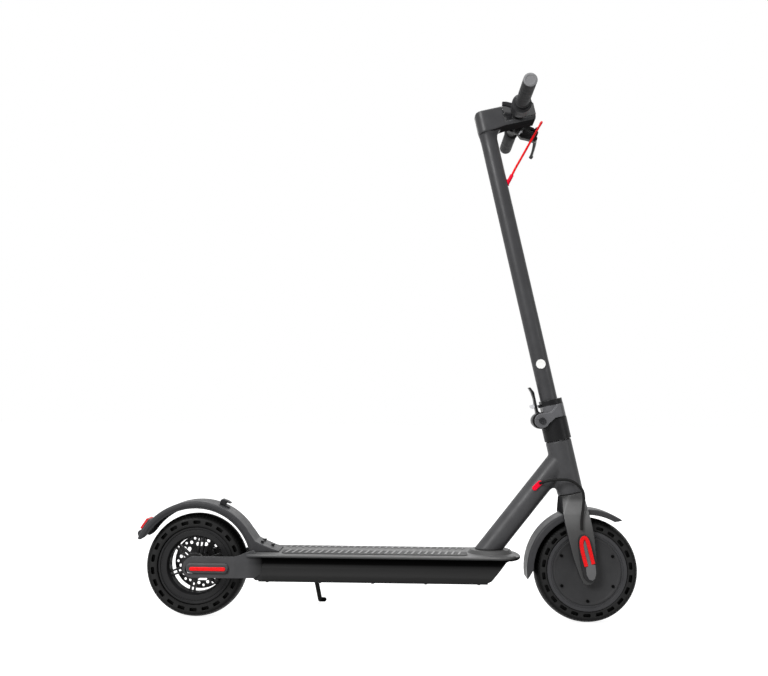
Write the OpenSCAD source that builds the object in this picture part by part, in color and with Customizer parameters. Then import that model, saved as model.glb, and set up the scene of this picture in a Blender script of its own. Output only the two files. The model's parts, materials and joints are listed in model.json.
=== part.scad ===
// Electric kick scooter: deck with a battery inside, raked folding stem, hub-motor front wheel,
// spoked rear wheel with a disc brake, two fenders, lights, kickstand and handlebar controls.
// X runs forward, Y to the rider's left, Z up. The origin lies on the ground, at the middle of
// the length and width.

/* [Wheels] */
// Distance between the two wheel axles
wheelbase = 822; // [780:1:880]
// Outer diameter of both tyres
tyre_d = 216; // [212:1:220]
// Width of both tyres
tyre_w = 50; // [44:1:52]
// Diameter of the rear rim, across its bead lips
rear_rim_d = 159; // [152:1:162]
// Diameter of the motor drum, across its bead lips
motor_d = 165; // [160:1:168]
// Width of the motor drum
motor_w = 48; // [44:1:49]
// Diameter of the clear opening inside the rear rim
rim_opening_d = 116; // [108:1:122]
// Number of paired spokes in the rear wheel
spoke_pairs = 6; // [4:1:8]
// Width of one spoke
spoke_w = 3.5; // [3:0.5:5]
// Number of holes on each side of a tyre
tyre_holes = 22; // [16:1:24]
// Diameter of both wheel axles
axle_d = 12; // [10:0.5:14]
// Diameter of the brake disc
disc_d = 115; // [100:1:120]
// Thickness of the brake disc
disc_t = 2.4; // [1.8:0.1:3]
// Distance of the brake disc's middle plane from the centre plane
disc_y = 33; // [32:0.5:35]

/* [Deck] */
// Height of the deck's top above the axles
deck_rise = 32; // [28:0.5:40]
// Depth of the deck from top to underside
deck_depth = 54.5; // [50:0.5:62]
// Width of the deck across its edge beads
deck_w = 136; // [128:1:150]
// Width of the deck's lower body
deck_body_w = 116; // [112:1:120]
// Gap between the rear axle and the rear face of the deck
deck_rear_gap = 117; // [114:1:124]
// Gap between the nose of the deck and the front axle
nose_gap = 136; // [134:1:142]
// Thickness of the rubber mat on the deck
mat_t = 2.5; // [2:0.5:4]
// Width of the rubber mat
mat_w = 104; // [80:1:120]
// Width of the battery bay inside the deck
bay_w = 88; // [80:1:92]
// Thickness of the plate that closes the bay
cover_t = 2.5; // [2:0.5:4]
// Outer width across the two rear arms
arm_span = 132; // [130:1:136]
// Thickness of one rear arm
arm_t = 14; // [12:0.5:16]

/* [Front end] */
// Angle of the steering axis back from upright
steer_tilt = 12.45; // [11:0.05:14]
// Distance of the steering axis ahead of the front axle, at axle height
steer_offset = 6.4; // [4:0.2:10]
// Outer diameter of the head tube
head_tube_d = 54.5; // [52:0.5:58]
// Length of the head tube
head_tube_l = 114; // [100:1:118]
// Height of the head tube's lower end along the steering axis, from axle height
head_tube_low = 162; // [160:1:170]
// Outer diameter of the steerer tube
steerer_d = 30; // [28:0.5:32]
// Outer diameter of a headset bearing
bearing_d = 41; // [39:0.5:44]
// Outer diameter of the down tube
down_tube_d = 48; // [42:0.5:50]
// Rise angle of the down tube
down_tube_rise = 51.3; // [48:0.1:54]
// Distance between the inner faces of the fork legs
fork_gap = 62.8; // [60:0.2:66]
// Thickness of one fork leg
leg_t = 9.6; // [8:0.2:12]

/* [Folding joint] */
// Outer diameter of the folding base
fold_base_d = 57; // [54:0.5:58]
// Height of the folding base
fold_base_h = 48; // [44:1:56]
// Distance of the hinge pin behind the steering axis
hinge_back = 28.7; // [28:0.1:30]
// Diameter of the hinge pin
hinge_pin_d = 10; // [8:0.5:12]
// Outer diameter of the stem collar
collar_d = 56; // [52:0.5:57]
// Height of the stem collar
collar_h = 27; // [24:0.5:34]
// Height of the trim ring above the collar
ring_h = 12; // [8:0.5:16]
// Diameter of the latch lever's hub
lever_hub_d = 35; // [32:0.5:36]
// Width of the latch lever's hub
lever_hub_w = 25; // [22:0.5:26]
// Diameter of the ears on the folding base
ear_d = 26; // [24:0.5:28]
// Thickness of one ear
ear_t = 11; // [9:0.5:12]

/* [Stem and bars] */
// Outer diameter of the stem tube
stem_d = 37; // [34:0.5:38]
// Wall of the stem tube
stem_wall = 3; // [2:0.5:4]
// Height of the handlebar along the steering axis, from axle height
bar_height = 987; // [900:1:1040]
// Distance of the handlebar ahead of the steering axis
bar_forward = 71; // [68:1:80]
// Diameter of the handlebar tube
bar_d = 22; // [20:0.5:23]
// Length of the handlebar from cap to cap
bar_length = 430; // [400:2:480]
// Length of one grip
grip_l = 113; // [100:1:114]
// Diameter of one grip
grip_d = 28.4; // [26:0.2:32]
// Width of the stem head and its dash housing
head_w = 46; // [42:1:50]
// Depth of the stem head below the handlebar's centre
head_below = 18.5; // [17:0.5:22]
// Height of the stem head above the handlebar's centre
head_above = 26; // [25:0.5:32]
// Reach of the stem head ahead of the handlebar's centre
head_front = 38.5; // [36:0.5:44]

/* [Fenders and stand] */
// Outer radius of the front fender
front_fender_r = 127.4; // [126:0.1:129]
// Outer radius of the rear fender
rear_fender_r = 135; // [130:0.5:137]
// Width of the rear fender
rear_fender_w = 70; // [64:1:76]
// Thickness of both fenders
fender_t = 2.8; // [2:0.2:3.4]
// How far the tail light reaches behind the rear axle
tail_reach = 126.4; // [124:0.2:132]
// Distance of the kickstand ahead of the rear axle
stand_x = 248; // [220:1:320]
// Length of the kickstand from its pivot to the foot
stand_l = 117; // [100:0.5:117]
// Diameter of the kickstand's leg
stand_d = 10; // [8:0.5:10]

/* [Hidden] */
$fn = 64;

// Named clearances
fit = 0.05;
gap = 0.3;
seam = 0.4;

// Places of the axles
axle_z = tyre_d/2;
x_front = (wheelbase + tail_reach - tyre_d/2)/2;
x_rear = x_front - wheelbase;

// Deck heights and edges
deck_top = axle_z + deck_rise;
deck_low = deck_top - deck_depth;
deck_x0 = x_rear + deck_rear_gap;
nose_x = x_front - nose_gap;
bay_x0 = deck_x0 + 33;
bay_x1 = nose_x - 83;
bay_roof = 9;
controller_room = 94;
mat_x0 = deck_x0 + 68;
mat_x1 = nose_x - 113;
charge_x = nose_x - 99;
charge_z = deck_top - 38;
arm_out = arm_span/2;
arm_in = arm_out - arm_t;
arm_cover_t = 6;
arm_mark_t = 2;

// Heights along the steering axis
s_head = head_tube_low + head_tube_l;
s_base = s_head + seam;
s_part = s_base + fold_base_h;
s_collar = s_part + gap;
s_ring = s_collar + collar_h;
s_tube = s_ring + ring_h;
head_rear = -stem_d/2 - 1.5;
head_round = 18;
head_s0 = bar_height - head_below;
head_s1 = bar_height + head_above;
head_a1 = bar_forward + head_front;
pod_a0 = bar_forward - 30;
pod_s0 = bar_height - 8;
lamp_d = 21;
lamp_s = bar_height + 5;

// Fork, covers and their marks
leg_in = fork_gap/2;
leg_out = leg_in + leg_t;
leg_cover_t = 7;
leg_mark_t = 2;
crown_r = head_tube_d/2 - 0.8;
steerer_wall = 3.5;
bearing_h = 8;
nut_d = 19;
front_fender_w = fork_gap - 2*seam;
fender_ahead = 2;

// Folding joint
ear_y0 = lever_hub_w/2 + 0.5;
ear_y1 = ear_y0 + ear_t;
lug_d = 31;
lug_y0 = fold_base_d/2 + gap;
lug_t = 5.2;
lug_y1 = lug_y0 + lug_t;
collar_back = 19.6;

// Motor drum
drum_wall = 3.5;
drum_r = motor_d/2 - 16.5;
cover_r = motor_d/2 - 11.5;
seat_depth = 4.5;
journal_d = 2*axle_d;
stator_gap = 1.5;

// Handlebar controls
control_gap = 6;
throttle_y1 = bar_length/2 - 2 - grip_l - control_gap;
throttle_y0 = throttle_y1 - 36;
bracket_y0 = 50;
bracket_y1 = 68;
bell_y0 = head_w/2 + 6;
bell_y1 = bell_y0 + 13;
bell_pin_d = 4;
control_d = 31;
lever_pivot = [42, 58, -16];
lever_tilt = 34;
lever_droop = 10;
lever_pin_d = 5;
lever_t = 7;
barrel_from = [46, 54, -16];
barrel_to = [52, 43, -9];
cable_d = 5;
relief_l = 20;
relief_angle = 40.2;
relief_foot = [stem_d/2 + 1.5, bar_height - 139];

// Kickstand
stand_pivot = [stand_x, 52, -35.3];
stand_lean = 35;
stand_eye = 10;
stand_bolt_d = 8;

motor_cable_d = 6;
// Route of the motor cable, from the front axle
motor_route = [[-96, -27.4, 180.5], [-95.5, -31, 181], [-90, -37, 183.5], [-70, -41, 188], [-38, -42, 188],
    [-16, -43, 174], [-9, -44, 156], [-11, -45, 130], [-14, -45, 106], [-14, -45, 86.5]];
// Place of the down tube's top along the steering axis, and its length before it is cut
tube_join = 240.5;
tube_reach = 330;
tube_seat_h = 7;
tube_seat_l = 96;
tube_seat_w = 88;
tube_seat_ahead = 9;
tube_foot_x = x_front - tube_join*sin(steer_tilt)
    - (axle_z + tube_join*cos(steer_tilt) - deck_top - tube_seat_h)/tan(down_tube_rise);
// Fillet under the down tube, and the tube's slope against the square to the steering axis
tube_turn = down_tube_rise - steer_tilt;
web_r = 7;
web_t = 18;
web_low = web_r*tan(45 + tube_turn/2);
web_s = tube_join - down_tube_d/2/cos(tube_turn) - head_tube_d/2*tan(tube_turn);
// Route of the handlebar brake cable, from the handlebar's centre
brake_route = [[-2, 1, -112], [13, 5, -85], [37, 13, -41], [52, 22, -14], [60, 30, 0], [59, 36, 1]];
// Route of the rear brake cable, from the rear axle
rear_route = [[deck_rear_gap - 0.7, 42, 12], [106, 43, 16], [94, 44, 22], [82, 44, 26], [70.5, 44, 27]];

// Frames of reference
module at_rear() translate([x_rear, 0, axle_z]) children();
module at_front() translate([x_front, 0, axle_z]) children();
module steer() translate([x_front + steer_offset, 0, axle_z]) rotate([0, -steer_tilt, 0]) children();
module at_hinge() steer() translate([-hinge_back, 0, s_part]) children();
module at_bar() steer() translate([bar_forward, 0, bar_height]) rotate([0, steer_tilt, 0]) children();
module at_lever() at_bar() translate(lever_pivot) rotate([0, lever_tilt, 0])
    rotate([-lever_droop, 0, 0]) children();
module at_stand() at_rear() translate(stand_pivot) rotate([-stand_lean, 0, 0]) children();
module both_sides() { children(); mirror([0, 1, 0]) children(); }

// Cylinder along Y from y0 to y1
module lateral(d, y0, y1) translate([0, y0, 0]) rotate([-90, 0, 0]) cylinder(d = d, h = y1 - y0);
// Outline in X and Z, given thickness from y0 to y1
module plate(y0, y1) translate([0, y1, 0]) rotate([90, 0, 0]) linear_extrude(y1 - y0) children();
// Ring about Y, or a part of it, from a section of radius and Y
module ring_y(a0 = 0, a1 = 360) rotate([90, 0, 0]) rotate_extrude(angle = a1 - a0, start = a0, $fn = 120)
    children();
// Bar with round ends between two points of a side view, from y0 to y1
module slot_y(p, q, d, y0, y1) {
    for (e = [p, q]) translate([e[0], 0, e[1]]) lateral(d, y0, y1);
    plate(y0, y1) polygon(ribbon([p, q], [d, d]));
}
// Round rod between two points
module rod(p, q, d) {
    v = q - p;
    translate(p) rotate([0, acos(v[2]/norm(v)), atan2(v[1], v[0])]) cylinder(d = d, h = norm(v));
}

// Outline of given widths along a flat line of points
function along(p, i) = let(v = p[min(i + 1, len(p) - 1)] - p[max(i - 1, 0)]) v/norm(v);
function across(p, i) = [-along(p, i)[1], along(p, i)[0]];
function ribbon(p, w) = concat([for (i = [0:len(p) - 1]) p[i] + across(p, i)*w[i]/2],
    [for (i = [len(p) - 1:-1:0]) p[i] - across(p, i)*w[i]/2]);
function polar(r, a) = [r*cos(a), r*sin(a)];

// Smooth line through the points of a cable's route
function bend(a, b, c, d, t) = 0.5*(2*b + (c - a)*t + (2*a - 5*b + 4*c - d)*t*t
    + (3*b - a - 3*c + d)*t*t*t);
function smooth(p, n) = concat([for (i = [0:len(p) - 2], k = [0:n - 1])
    bend(p[max(i - 1, 0)], p[i], p[i + 1], p[min(i + 2, len(p) - 1)], k/n)], [p[len(p) - 1]]);
function carry(p, u, i) = i >= len(p) ? []
    : let(t = along(p, i), v = u - (u*t)*t, n = v/norm(v)) concat([n], carry(p, n, i + 1));
// Round cable of n sides along a line of points
module cable(p, d, n = 10) {
    u = carry(p, [0, 1, 0.2], 0);
    last = len(p) - 1;
    polyhedron(
        points = [for (i = [0:last], k = [0:n - 1])
            let(t = along(p, i)) p[i] + d/2*(cos(360*k/n)*u[i] + sin(360*k/n)*cross(t, u[i]))],
        faces = concat([[for (k = [0:n - 1]) k]], [[for (k = [n - 1:-1:0]) last*n + k]],
            [for (i = [0:last - 1], k = [0:n - 1]) [i*n + k, (i + 1)*n + k, (i + 1)*n + (k + 1)%n]],
            [for (i = [0:last - 1], k = [0:n - 1]) [i*n + k, (i + 1)*n + (k + 1)%n, i*n + (k + 1)%n]]));
}

// ---------------------------------------------------------------- deck and frame

// Outline of the deck from above, with a rounded nose
module deck_plan() {
    nose_l = 56;
    nose_c = nose_x - nose_l;
    polygon(concat([[deck_x0, -deck_w], [deck_x0, deck_w]],
        [for (a = [90:-6:-90]) [nose_c + nose_l*cos(a), deck_w/2*sin(a)]]));
}
// Outline of the deck from the side
module deck_side() polygon([[deck_x0, deck_low + 5], [deck_x0, deck_top], [nose_x - 16, deck_top],
    [nose_x - 12, deck_top - 3], [nose_x - 3, deck_top - 4], [nose_x, deck_top - 5.5],
    [nose_x - 1.5, deck_top - 7.5], [nose_x - 7, deck_top - 9], [nose_x - 29, deck_top - 9.5],
    [nose_x - 34, deck_top - 12], [nose_x - 59, deck_low + 12], [nose_x - 65, deck_low + 4.5],
    [nose_x - 73, deck_low], [deck_x0 + 17, deck_low], [deck_x0 + 13, deck_low + 4.5]]);
// Section of the deck across, seen from behind
module deck_section() {
    w = deck_w/2;
    b = deck_body_w/2;
    half = [[w - 1.5, 12], [w - 1.5, 0], [w, -1.5], [w, -5], [w - 2, -6.5], [b - 3, -7.5], [b - 4, -13],
        [b - 2.5, -20], [b, -28], [b, 10 - deck_depth], [b - 3, -deck_depth]];
    polygon(concat(half, [for (i = [len(half) - 1:-1:0]) [-half[i][0], half[i][1]]]));
}
// Outline of one rear arm, from the rear axle
module arm_side() {
    end_r = 21;
    translate([5, 4]) circle(r = end_r);
    polygon([[5, 4 + end_r], [90, 25], [98, 27.4], [deck_rear_gap - 2, deck_rise + 2.3],
        [deck_rear_gap + 12, deck_rise + 6.6], [deck_rear_gap + 18, deck_rise],
        [deck_rear_gap + 30, deck_rise - 12], [deck_rear_gap + 30, -8], [deck_rear_gap + 16, 4 - end_r],
        [5, 4 - end_r]]);
}
// Outline of one rear arm from above, which narrows until it lies flush with the deck's side
module arm_plan() {
    from = 92;
    to = deck_rear_gap + 33;
    run = (to - from)/(arm_out - deck_body_w/2);
    polygon([[-30, arm_in - 1], [-30, arm_out + 1], [from - run, arm_out + 1], [to, deck_body_w/2],
        [to, arm_in - 1]]);
}
module charge_place() translate([charge_x, deck_body_w/2, charge_z]) children();
socket_d = 16;

module deck_frame() color([0.29, 0.29, 0.3]) difference() {
    union() {
        intersection() {
            linear_extrude(deck_top + 40) deck_plan();
            plate(-deck_w, deck_w) deck_side();
            translate([deck_x0, 0, deck_top]) rotate([90, 0, 90]) linear_extrude(wheelbase) deck_section();
        }
        // Raised seat of the down tube
        translate([tube_foot_x + tube_seat_ahead, 0, deck_top - 1]) linear_extrude(tube_seat_h + 1, scale = 0.86)
            polygon([for (a = [0:10:350]) [tube_seat_l/2*cos(a), tube_seat_w/2*sin(a)]]);
        both_sides() at_rear() intersection() {
            plate(arm_in, arm_out) arm_side();
            translate([0, 0, -60]) linear_extrude(120) arm_plan();
        }
    }
    // Battery bay, open downwards
    translate([bay_x0, -bay_w/2, deck_low - 1])
        cube([bay_x1 - bay_x0, bay_w, deck_depth - bay_roof + 1]);
    both_sides() at_rear() {
        lateral(axle_d + 2*fit, arm_in - 1, arm_out + 1);
        lateral(nut_d + 2, arm_out - 8, arm_out + 1);
    }
    charge_place() lateral(socket_d, -deck_body_w/2 + bay_w/2 - 1, 2);
    cover_screw_places() translate([0, 0, deck_low - 1]) cylinder(d = 3 + 2*fit, h = 9, $fn = 24);
    // Holes for the fender's screws
    for (p = foot_screws) translate([x_rear + p[0], p[1], deck_top - 8])
        cylinder(d = 4 + 2*fit, h = 9, $fn = 24);
}

module front_frame() color([0.3, 0.3, 0.31]) {
    seat_h = bearing_h + 2*fit;
    difference() {
        union() {
            steer() translate([0, 0, head_tube_low]) cylinder(d = head_tube_d, h = head_tube_l);
            difference() {
                steer() translate([0, 0, tube_join]) rotate([0, steer_tilt - 90 - down_tube_rise, 0])
                    cylinder(d = down_tube_d, h = tube_reach);
                translate([x_rear, -deck_w, deck_top + tube_seat_h - 400]) cube([wheelbase*2, deck_w*2, 400]);
            }
            // Fillet in the corner under the down tube
            steer() plate(-web_t/2, web_t/2) polygon(concat([[5 - head_tube_d/2, web_s - web_low],
                [5 - head_tube_d/2, web_s + 8],
                [-head_tube_d/2 - web_low*cos(tube_turn) - 5*sin(tube_turn),
                web_s - web_low*sin(tube_turn) + 5*cos(tube_turn)]],
                [for (a = [90 + tube_turn:-(90 + tube_turn)/9:0.1]) [web_r*cos(a) - head_tube_d/2 - web_r,
                web_s - web_low + web_r*sin(a)]]));
        }
        // Inside of the head tube, with a seat for a bearing at each end
        steer() translate([0, 0, head_tube_low - 1]) cylinder(d = bearing_d - 4, h = head_tube_l + 2);
        steer() translate([0, 0, head_tube_low - 1]) cylinder(d = bearing_d + 2*fit, h = seat_h + 1);
        steer() translate([0, 0, s_head - seat_h]) cylinder(d = bearing_d + 2*fit, h = seat_h + 1);
        // Inside of the down tube
        steer() translate([0, 0, tube_join]) rotate([0, steer_tilt - 90 - down_tube_rise, 0])
            translate([0, 0, head_tube_d]) cylinder(d = down_tube_d - 6, h = tube_reach);
    }
}

module headset_bearings() color([0.7, 0.7, 0.72])
    for (s = [head_tube_low + fit, s_head - bearing_h - fit]) steer() translate([0, 0, s]) difference() {
        cylinder(d = bearing_d, h = bearing_h);
        translate([0, 0, -1]) cylinder(d = steerer_d + 2*fit, h = bearing_h + 2);
    }

module deck_mat() color([0.13, 0.13, 0.13]) translate([0, 0, deck_top]) linear_extrude(mat_t) {
    r = 14;
    translate([mat_x0 + r, -mat_w/2]) square([mat_x1 - mat_x0 - 2*r, mat_w]);
    translate([mat_x0, -mat_w/2 + r]) square([mat_x1 - mat_x0, mat_w - 2*r]);
    for (x = [mat_x0 + r, mat_x1 - r], y = [r - mat_w/2, mat_w/2 - r]) translate([x, y]) circle(r = r);
}

module cover_screw_places() for (i = [0:4], y = [-1, 1])
    translate([bay_x0 + 8 + i*(bay_x1 - bay_x0 - 16)/4, y*(bay_w/2 + 6), 0]) children();

module bottom_cover() color([0.16, 0.16, 0.17]) difference() {
    translate([bay_x0 - 10, -deck_body_w/2 + 4, deck_low - cover_t])
        cube([bay_x1 - bay_x0 + 20, deck_body_w - 8, cover_t]);
    cover_screw_places() translate([0, 0, deck_low - cover_t - 1]) cylinder(d = 3 + 2*fit, h = cover_t + 2, $fn = 24);
}

module bottom_cover_screws() color([0.55, 0.55, 0.57]) cover_screw_places() {
    translate([0, 0, deck_low - cover_t - 1.6]) cylinder(d = 6, h = 1.6, $fn = 24);
    translate([0, 0, deck_low - cover_t - 1]) cylinder(d = 3, h = cover_t + 8, $fn = 24);
}

module battery_pack() color([0.2, 0.3, 0.5])
    translate([bay_x0 + 6, -bay_w/2 + 2, deck_low + seam])
        cube([bay_x1 - bay_x0 - controller_room - 6, bay_w - 4, deck_depth - bay_roof - 2*seam]);

module motor_controller() color([0.6, 0.6, 0.62])
    translate([bay_x1 - controller_room + 8, -bay_w/2 + 8, deck_low + seam]) {
        cube([78, bay_w - 16, 26]);
        for (i = [0:6]) translate([4 + i*11, 0, 20]) cube([4, bay_w - 16, 14]);
    }

module charge_cap() color([0.08, 0.08, 0.08]) charge_place() {
    t = 2.5;
    lateral(socket_d + 4, gap, gap + t);
    lateral(socket_d - 1, -3, gap + t);
    // Hinge barrel above the cap, on a short strap
    translate([-4, gap, 8]) cube([8, t, 7]);
    translate([-5, gap + t/2, 15]) rotate([0, 90, 0]) cylinder(d = t, h = 10);
}

// ---------------------------------------------------------------- rear fender and light

flange_end = 178.6;
// Flat rear face that carries the tail light, from the rear axle
tail_face = [[-104.3, 94.4], [-118.2, 73.6]];
// Screws of the fender's foot: place ahead of the rear axle, place across, and height of the
// screw's head above the deck
foot_screws = [[141, -14, 18.1], [141, 14, 18.1], [161, 0, 9.8]];
module rear_fender() color([0.3, 0.3, 0.31]) at_rear() difference() {
    w = rear_fender_w/2;
    r = rear_fender_r;
    skirt = 119.5;
    bead = 125.5;
    lip = 3;
    // Section of the arch on one side of its middle, in radius and Y
    half = [[r - fender_t, w - fender_t], [bead, w - fender_t], [bead - 2, w - fender_t - lip],
        [skirt, w - fender_t - lip], [skirt, w - lip], [bead - 2, w - lip], [bead, w], [r - 2, w],
        [r, w - 4]];
    union() {
        ring_y(16, 157) polygon(concat([for (p = half) p],
            [for (k = [len(half) - 1:-1:0]) [half[k][0], -half[k][1]]]));
        difference() {
            plate(0.3 - w, w - 0.3) polygon([polar(r - 0.6, 34), polar(r - fender_t + 0.6, 34),
                [119, deck_rise], [flange_end, deck_rise], [flange_end, deck_rise + 2.5],
                [163, deck_rise + 7], [144, deck_rise + 14.5], [127, deck_rise + 22.5],
                [116.5, deck_rise + 37]]);
            // Hollow underneath, with pillars left for the screws
            difference() {
                plate(fender_t - w, w - fender_t) polygon([polar(r - fender_t - 0.6, 40),
                    [108, deck_rise - 1], [158, deck_rise - 1], [158, deck_rise + 5.8],
                    [144, deck_rise + 11.5], [126, deck_rise + 19.5], polar(r - fender_t - 0.6, 31)]);
                for (p = foot_screws) translate([p[0], p[1], deck_rise - 2]) cylinder(d = 10, h = 40);
            }
        }
        // Block behind the arch that the tail light sits on
        difference() {
            plate(-21, 21) polygon(concat([[-92, 92]], tail_face, [[-122.6, 71.8],
                [1 - tail_reach, 69], [-tail_reach, 65.5], [1.2 - tail_reach, 61], [-122.5, 56.8],
                [-112, 56]]));
            lateral(2*(r - fender_t/2), -22, 22);
        }
    }
    for (p = foot_screws) translate([p[0], p[1], deck_rise - 1])
        cylinder(d = 4 + 2*fit, h = 40, $fn = 24);
    // Rear end of the arch, which runs out under the tail light in a rounded lip
    plate(-w - 1, w + 1) polygon([[-95, 50], [-95, 62], [-99.5, 65.8], [-107, 58.8], [-113.5, 54.8],
        [-118, 53.8], [-121.3, 55.6], [-123, 58.7], [-140, 58.7], [-140, 40], [-95, 40]]);
}

module fender_screws() color([0.45, 0.45, 0.47]) at_rear() for (p = foot_screws)
    translate([p[0], p[1], deck_rise]) {
        translate([0, 0, p[2]]) cylinder(d = 8, h = 2.6);
        translate([0, 0, -7]) cylinder(d = 4, h = p[2] + 8);
    }

module fender_hook() color([0.1, 0.1, 0.1]) at_rear() difference() {
    plate(-8, 8) polygon([[45, 126], [47, 136], [51.4, 138.2], [62, 134.6], [69.5, 130], [68.5, 127.8],
        [60, 130.4], [58, 128], [58.5, 124.6], [68, 120.6], [60, 116]]);
    lateral(2*(rear_fender_r + fit), -9, 9);
}

module tail_light() color([0.75, 0.08, 0.1]) at_rear() {
    v = (tail_face[1] - tail_face[0])/norm(tail_face[1] - tail_face[0]);
    n = [v[1], -v[0]];
    plate(-17, 17) polygon([tail_face[0] + fit*n, tail_face[0] + 3.6*n, tail_face[0] + 1.2*v + 4.8*n,
        tail_face[1] - 1.2*v + 4.8*n, tail_face[1] + 3.6*n, tail_face[1] + fit*n]);
}

module rear_arm_covers() color([0.34, 0.34, 0.35]) both_sides() at_rear()
    slot_y([2, 3.5], [70, 3.5], 20, arm_out, arm_out + arm_cover_t);

module rear_reflectors() color([0.9, 0.1, 0.12]) both_sides() at_rear()
    slot_y([3.9, 2.3], [71, 2.3], 7.7, arm_out + arm_cover_t, arm_out + arm_cover_t + arm_mark_t);

// ---------------------------------------------------------------- rear wheel and brake

hub_half = 24;
disc_in = disc_y - disc_t/2;
disc_out = disc_y + disc_t/2;
carrier_r = 27;
bearing6_d = 28;
bearing6_h = 8;

module rear_axle() color([0.6, 0.6, 0.62]) at_rear() {
    lateral(axle_d, -arm_out + 1, arm_out - 1);
    both_sides() {
        lateral(axle_d + 6, hub_half + gap, arm_in);
        translate([0, arm_out - 8, 0]) rotate([-90, 0, 0]) cylinder(d = nut_d, h = 6, $fn = 6);
    }
}

module rear_bearings() color([0.75, 0.75, 0.77]) both_sides() at_rear() difference() {
    lateral(bearing6_d, hub_half - bearing6_h, hub_half);
    lateral(axle_d + 2*fit, hub_half - bearing6_h - 1, hub_half + 1);
}

rim_half = 20.5;
rim_lip = 3.5;
drum_lip = 6;
// Section of a solid tyre over a rim of diameter d and half width b, whose lips hold it on
module tyre_section(d, b, lip) {
    r = tyre_d/2;
    w = tyre_w/2;
    i = d/2 + gap;
    half = [[i - 2.5, b - lip - 3.8], [i, b - lip - 0.5], [i, w - 2], [i + 4, w], [r - 12, w], [r - 5, w - 3],
        [r - 1.2, w - 11], [r, w - 19]];
    polygon(concat(half, [for (k = [len(half) - 1:-1:0]) [half[k][0], -half[k][1]]]));
}
module tyre(d, b, lip) difference() {
    ring_y() tyre_section(d, b, lip);
    for (k = [0:tyre_holes - 1]) rotate([0, -360*(k + 0.5)/tyre_holes, 0]) both_sides()
        translate([tyre_d/2 - 17.5, 0, 0]) slot_y([0, -3], [0, 3], 8, tyre_w/2 - 11, tyre_w/2 + 1);
}

module rear_tyre() color([0.1, 0.1, 0.1]) at_rear() tyre(rear_rim_d, rim_half, rim_lip);
module front_tyre() color([0.1, 0.1, 0.1]) at_front() tyre(motor_d, motor_w/2, drum_lip);

module disc_screw_places() for (a = [0:60:300]) rotate([0, a, 0]) translate([22, 0, 0]) children();

module rear_rim() color([0.2, 0.2, 0.21]) at_rear() difference() {
    r = rear_rim_d/2;
    o = rim_opening_d/2;
    union() {
        h = rim_half;
        half = [[o, h - 9.5], [o + 4, h - 1.5], [r - 7.5, h - 0.5], [r - 7, h - 2], [r - 4.5, h - 2],
            [r - 4, h], [r, h], [r, h - rim_lip], [r - 2.5, h - rim_lip - 3]];
        ring_y() polygon(concat(half, [for (k = [len(half) - 1:-1:0]) [half[k][0], -half[k][1]]]));
        ring_y() polygon([[axle_d/2 + 2, -hub_half], [18, -hub_half], [20, 8 - hub_half], [20, hub_half - 8],
            [18, hub_half - 4], [carrier_r, hub_half], [carrier_r, disc_in], [16, disc_in],
            [16, hub_half], [axle_d/2 + 2, hub_half]]);
        pitch = 360/spoke_pairs;
        for (k = [0:spoke_pairs - 1], u = [-1, 1]) rotate([0, -20 - k*pitch, 0])
            translate([19, -5, u*4.3 - spoke_w/2]) cube([o - 17, 10, spoke_w]);
    }
    // Seats of the two bearings
    both_sides() lateral(bearing6_d + 2*fit, hub_half - bearing6_h, hub_half + 0.01);
    disc_screw_places() lateral(4 + 2*fit, disc_in - 5, disc_in + 1);
}

module brake_disc() color([0.55, 0.56, 0.58]) at_rear() difference() {
    y0 = disc_in;
    y1 = disc_out;
    lateral(disc_d, y0, y1);
    lateral(32, y0 - 1, y1 + 1);
    disc_screw_places() lateral(4 + 2*fit, y0 - 1, y1 + 1);
    // Two staggered rows of holes in the braking band
    for (k = [0:29]) rotate([0, 12*k, 0]) translate([k % 2 == 0 ? disc_d/2 - 11.5 : disc_d/2 - 6.5, 0, 0])
        lateral(k % 2 == 0 ? 7 : 5.5, y0 - 1, y1 + 1);
    for (k = [0:5]) rotate([0, 60*k + 30, 0])
        slot_y([disc_d/2 - 21, -9], [disc_d/2 - 21, 9], 8, y0 - 1, y1 + 1);
}

module disc_screws() color([0.5, 0.5, 0.52]) at_rear() disc_screw_places() {
    lateral(4, disc_in - 4.5, disc_out + 1);
    lateral(7, disc_out, disc_out + 2.4);
}

module brake_caliper() color([0.14, 0.14, 0.15]) at_rear() {
    difference() {
        union() {
            plate(disc_in - 7, disc_out + 8) polygon([[34, 16], [46, 12], [68, 22], [70, 30], [58, 44],
                [44, 42], [34, 30]]);
            // Foot that bolts the body to the arm
            translate([52, 0, 18]) lateral(14, disc_out + 7, arm_in);
            // Stop for the end of the cable
            translate([60, disc_out + 6, 22]) cube([10, 6.8, 9]);
        }
        // Slot for the disc
        lateral(disc_d + 6, disc_in - 1.4, disc_out + 1.4);
    }
    // Brake pads on both sides of the disc
    for (y = [disc_in - 1.4, disc_out + 0.4]) plate(y, y + 1) translate([40, 24]) circle(d = 13);
    // Pivot of the actuating arm
    translate([50, 0, 33]) lateral(5, disc_out + 7, disc_out + 12);
}

module caliper_arm() color([0.5, 0.5, 0.52]) at_rear() translate([50, 0, 33]) difference() {
    y0 = disc_out + 8 + gap;
    union() {
        lateral(12, y0, y0 + 3);
        slot_y([0, 0], [-14, 16], 7, y0, y0 + 3);
    }
    lateral(5 + 2*fit, y0 - 1, y0 + 4);
}

module rear_brake_cable() color([0.08, 0.08, 0.08]) at_rear() cable(smooth(rear_route, 3), cable_d, 8);

// ---------------------------------------------------------------- kickstand

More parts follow.
